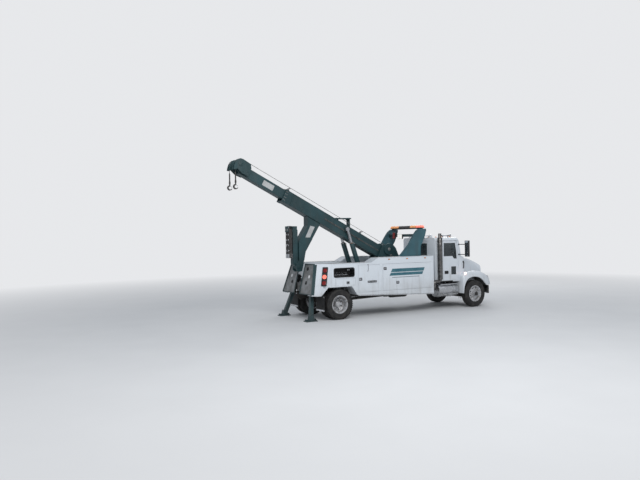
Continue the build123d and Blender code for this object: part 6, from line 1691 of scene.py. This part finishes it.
# Underlift: a telescoping stinger folded up behind the knee arm, its head carrying two
# forged crossbar arms that fold down, with drilled sides and pinned fork sockets.
dress(green_paint, "stinger_outer", "stinger_inner", edge=0.004)
dress(forged_paint, "crossbar_arm_right", "crossbar_arm_left", edge=0.006)
collar, head_pins = works(2)
for name in sides():
    for outline in (
        ((-1.140, 2.90), (-0.975, 2.90), (-0.975, 2.995), (-1.140, 2.995)),
        ((-1.140, 1.86), (-0.975, 1.86), (-0.975, 2.05), (-1.140, 2.00)),
    ):
        collar.prism(outline, 0.0915, 0.0985)
    collar.bolts([(x, 0.0985, z) for x in (-1.115, -1.000) for z in (2.925, 2.970)], across=0.018)
    collar.bar((-1.1495, 0.0915, 1.86), (-1.1495, 0.0915, 2.99), 0.004, 8)
    for z in (2.25, 2.55):
        collar.block((-1.1545, -0.9605), (0.0915, 0.0960), (z - 0.012, z + 0.012))
    head_pins.bolts([(x, y, 3.120) for x in (-1.26, -1.21) for y in (0.04, 0.10)], UP, 0.018)
    for x, heading in ((-1.331, BACK), (-1.169, AHEAD)):
        head_pins.turned(((0.0, 0.034), (0.010, 0.034), (0.012, 0.028)), (x, 0.070, 3.000), heading, 24)

    # the arm's drilled holes: raised rims round dark discs, which are painted shade for the bores; and the
    # band and pin of its fork socket
    rings, bore_shade_discs = works(2)
    for z in (2.30, 2.48, 2.66, 2.84):
        centre = (-1.310, 0.070, z)
        rings.turned(((0.0, 0.030), (0.005, 0.029), (0.006, 0.019), (0.001, 0.018)), centre, BACK, 24)
        bore_shade_discs.turned(((0.0005, 0.0185), (0.0015, 0.0)), centre, BACK, 20)
    rim(rings, (-1.3145, 2.055), (-1.1855, 2.185), 0.004, 0.005, 0.004, 0.0125, 0.1275)
    rings.bar((-1.25, 0.124, 2.120), (-1.25, 0.142, 2.120), 0.013, 14)
    rings.fit(f"crossbar_rings_{name}", tank_paint, 0.0006, f"crossbar_arm_{name}", "worn_steel")
    bore_shade_discs.fit(f"crossbar_bores_painted_shade_{name}", hub_and_opening_shade_paint, body=f"crossbar_arm_{name}")
collar.fit("stinger_collar", green_paint, 0.001, "stinger")
head_pins.fit("stinger_head_pins", steel_paint, 0.001, "stinger_extension")

# Spades: box legs sliding in splayed sleeves at the tail, with broad feet on the ground.
# The legs' pin holes are rims round dark discs, painted shade for the holes, and the sleeves have welded
# bands.
SPADE_TOP, SPADE_FOOT = (-0.634, 0.431, 1.500), (-1.000, 0.980, 0.0)
PIN_RIM = ((0.0, 0.021), (0.00020, 0.020), (0.00022, 0.014))
BAND = [[(x * half, y * half) for x, y in ((-1, -1), (1, -1), (1, 1), (-1, 1))] for half in (0.080, 0.0695)]


def spade_axes():
    """Axes of the leg on the side in hand: two across it, and up along it from its foot."""
    top, low = (Fabrication().outward(spot) for spot in (SPADE_TOP, SPADE_FOOT))
    rise = (top - low).normalized()
    across = (Vector(OUT) - rise * rise.y).normalized()
    return TRUCK @ Matrix.Translation(low) @ Matrix((across, rise.cross(across), rise)).transposed().to_4x4()


dress(green_paint, "spade_right", "spade_left", edge=0.004)
for name in sides():
    body = f"spade_{name}"
    leg, holes, bands = works(3, spade_axes(), 1)
    # each pin hole is a rim round a dark disc, painted shade in place of a cut hole
    for reach in (0.32, 0.44, 0.56, 0.68, 0.80):
        for face in (-1, 1):
            centre, heading = (0, face * 0.060, reach), (0, face, 0)
            leg.turned(PIN_RIM, centre, heading, 18)
            holes.turned(((0.0001, 0.0138), (0.0002, 0.0)), centre, heading, 16)
    for x in (-0.0595925, 0.0595925):
        for y in (-0.0595925, 0.0595925):
            leg.bar((x, y, 0.10), (x, y, 0.40), 0.0035, 6)
    for z in (0.945, 1.25, 1.555):
        bands.ring(*BAND, z - 0.015, z + 0.015, "z")
    foot_work = Fabrication()
    for x in (-1.17, -0.83):
        web = ((0.870, 0.030), (1.070, 0.030), (1.010, 0.085), (0.930, 0.085))
        foot_work.prism(web, x - 0.006, x + 0.006, "x")
    foot_work.block((-1.195, -0.805), (0.958, 0.982), (0.030, 0.070))
    foot_work.bar((-1.075, 0.970, 0.130), (-0.875, 0.970, 0.130), 0.022, 14)
    leg.fit(f"spade_leg_work_{name}", green_paint, 0.0006, body)
    holes.fit(f"spade_leg_holes_painted_shade_{name}", hub_and_opening_shade_paint, body=body)
    foot_work.fit(f"spade_foot_work_{name}", green_paint, 0.002, body)
    bands.fit(f"spade_sleeve_bands_{name}", frame_paint, 0.0015)

# Light pylons: swept plates on the side boxes, in a lighter teal, with folded edges; across
# them the light bar with coloured domes on a black base, and a rail with lamps below it.
REAR_EDGE = (
    (2.700, 2.0005), (2.910, 2.210), (3.130, 2.430), (3.270, 2.640),
    (3.400, 2.820), (3.490, 2.915), (3.588, 2.9845),
)
FRONT_EDGE = (
    (3.650, 2.0005), (3.670, 2.370), (3.770, 2.530),
    (3.870, 2.750), (3.925, 2.920), (3.915, 2.9845),
)
BAR_SECTION = ((3.597, 3.006), (3.873, 3.006), (3.873, 3.020), (3.858, 3.033), (3.612, 3.033), (3.597, 3.020))
DOME = (
    (3.603, 3.033), (3.867, 3.033), (3.864, 3.068), (3.846, 3.098),
    (3.810, 3.113), (3.660, 3.113), (3.624, 3.098), (3.606, 3.068),
)
DOME_PITCH = 0.1714

pylon_paint = teal_enamel("pylon_teal", (0.030, 0.095, 0.118), (0.055, 0.145, 0.175))
dress(pylon_paint, "light_pylons", edge=0.004)
pylon, rail = works(2)
for name in sides():
    for line, dx, dz in ((REAR_EDGE, 0.012, -0.008), (FRONT_EDGE, -0.012, 0.0)):
        for (x1, z1), (x2, z2) in zip(line, line[1:]):
            pylon.prism(((x1, z1), (x2, z2), (x2 + dx, z2 + dz), (x1 + dx, z1)), 0.805, 0.895)
    pylon.block((2.66, 3.69), (0.800, 0.900), (2.006, 2.018))
    pylon.bolts([(x, y, 2.018) for x in (2.98, 3.18, 3.38, 3.58) for y in (0.812, 0.888)], UP, 0.020)
    rail.block((3.490, 3.590), (0.8080, 0.8195), (2.690, 2.812))
    rail.bolts([(x, 0.808, z) for x in (3.505, 3.575) for z in (2.705, 2.797)], (0, -1, 0), 0.016)
pylon.fit("pylon_flanges", pylon_paint, 0.002)
rail.block((3.500, 3.580), (-0.8195, 0.8195), (2.700, 2.800))
rail.fit("lamp_rail", green_paint, 0.004)

base_bar, ambers, reds, smoked = works(4)
base_bar.prism(BAR_SECTION, -0.858, 0.858)
base_bar.block((3.657, 3.813), (-0.84, 0.84), (2.986, 3.006))
base_bar.block((3.720, 3.750), (-0.84, 0.84), (3.033, 3.107))
for index, domes in enumerate((reds, ambers, ambers, smoked, smoked, smoked, smoked, ambers, ambers, ambers)):
    y = -0.857 + index * DOME_PITCH
    domes.prism(DOME, y + 0.003, y + DOME_PITCH - 0.003)
    if index:
        base_bar.prism([(x, z + 0.0015) for x, z in DOME], y - 0.003, y + 0.0025)
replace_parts(base_bar.fit("light_bar_base", seal_paint, 0.002), "light_bar")
ambers.fit("light_bar_ambers", lens("lit_amber_lens", (0.92, 0.40, 0.15), 0.5), 0.006)
reds.fit("light_bar_reds", lit_red, 0.006)
smoked.fit("light_bar_unlit", lens("smoked_lens", (0.10, 0.085, 0.085), 0.0), 0.006)

shells, red_lamp, white_lamp = works(3)
for y, z, glass, wide, high in (
    (0.43, 2.750, red_lamp, 0.060, 0.115),
    (0.06, 2.712, white_lamp, 0.125, 0.080),
):
    low, top = (y - wide, z - high), (y + wide, z + high)
    glass.prism(rounded(low, top, 0.016), 3.428, 3.446, "x")
    low, top = (y - wide - 0.006, z - high - 0.006), (y + wide + 0.006, z + high + 0.006)
    shells.prism(rounded(low, top, 0.020), 3.445, 3.500, "x")
shells.fit("rail_lamp_shells", seal_paint, 0.003)
red_lamp.fit("rail_red_lamp", dark_red, 0.005)
white_lamp.fit("rail_white_lamp", lens("work_lamp_lens", (0.92, 0.92, 0.88), 0.8), 0.005)
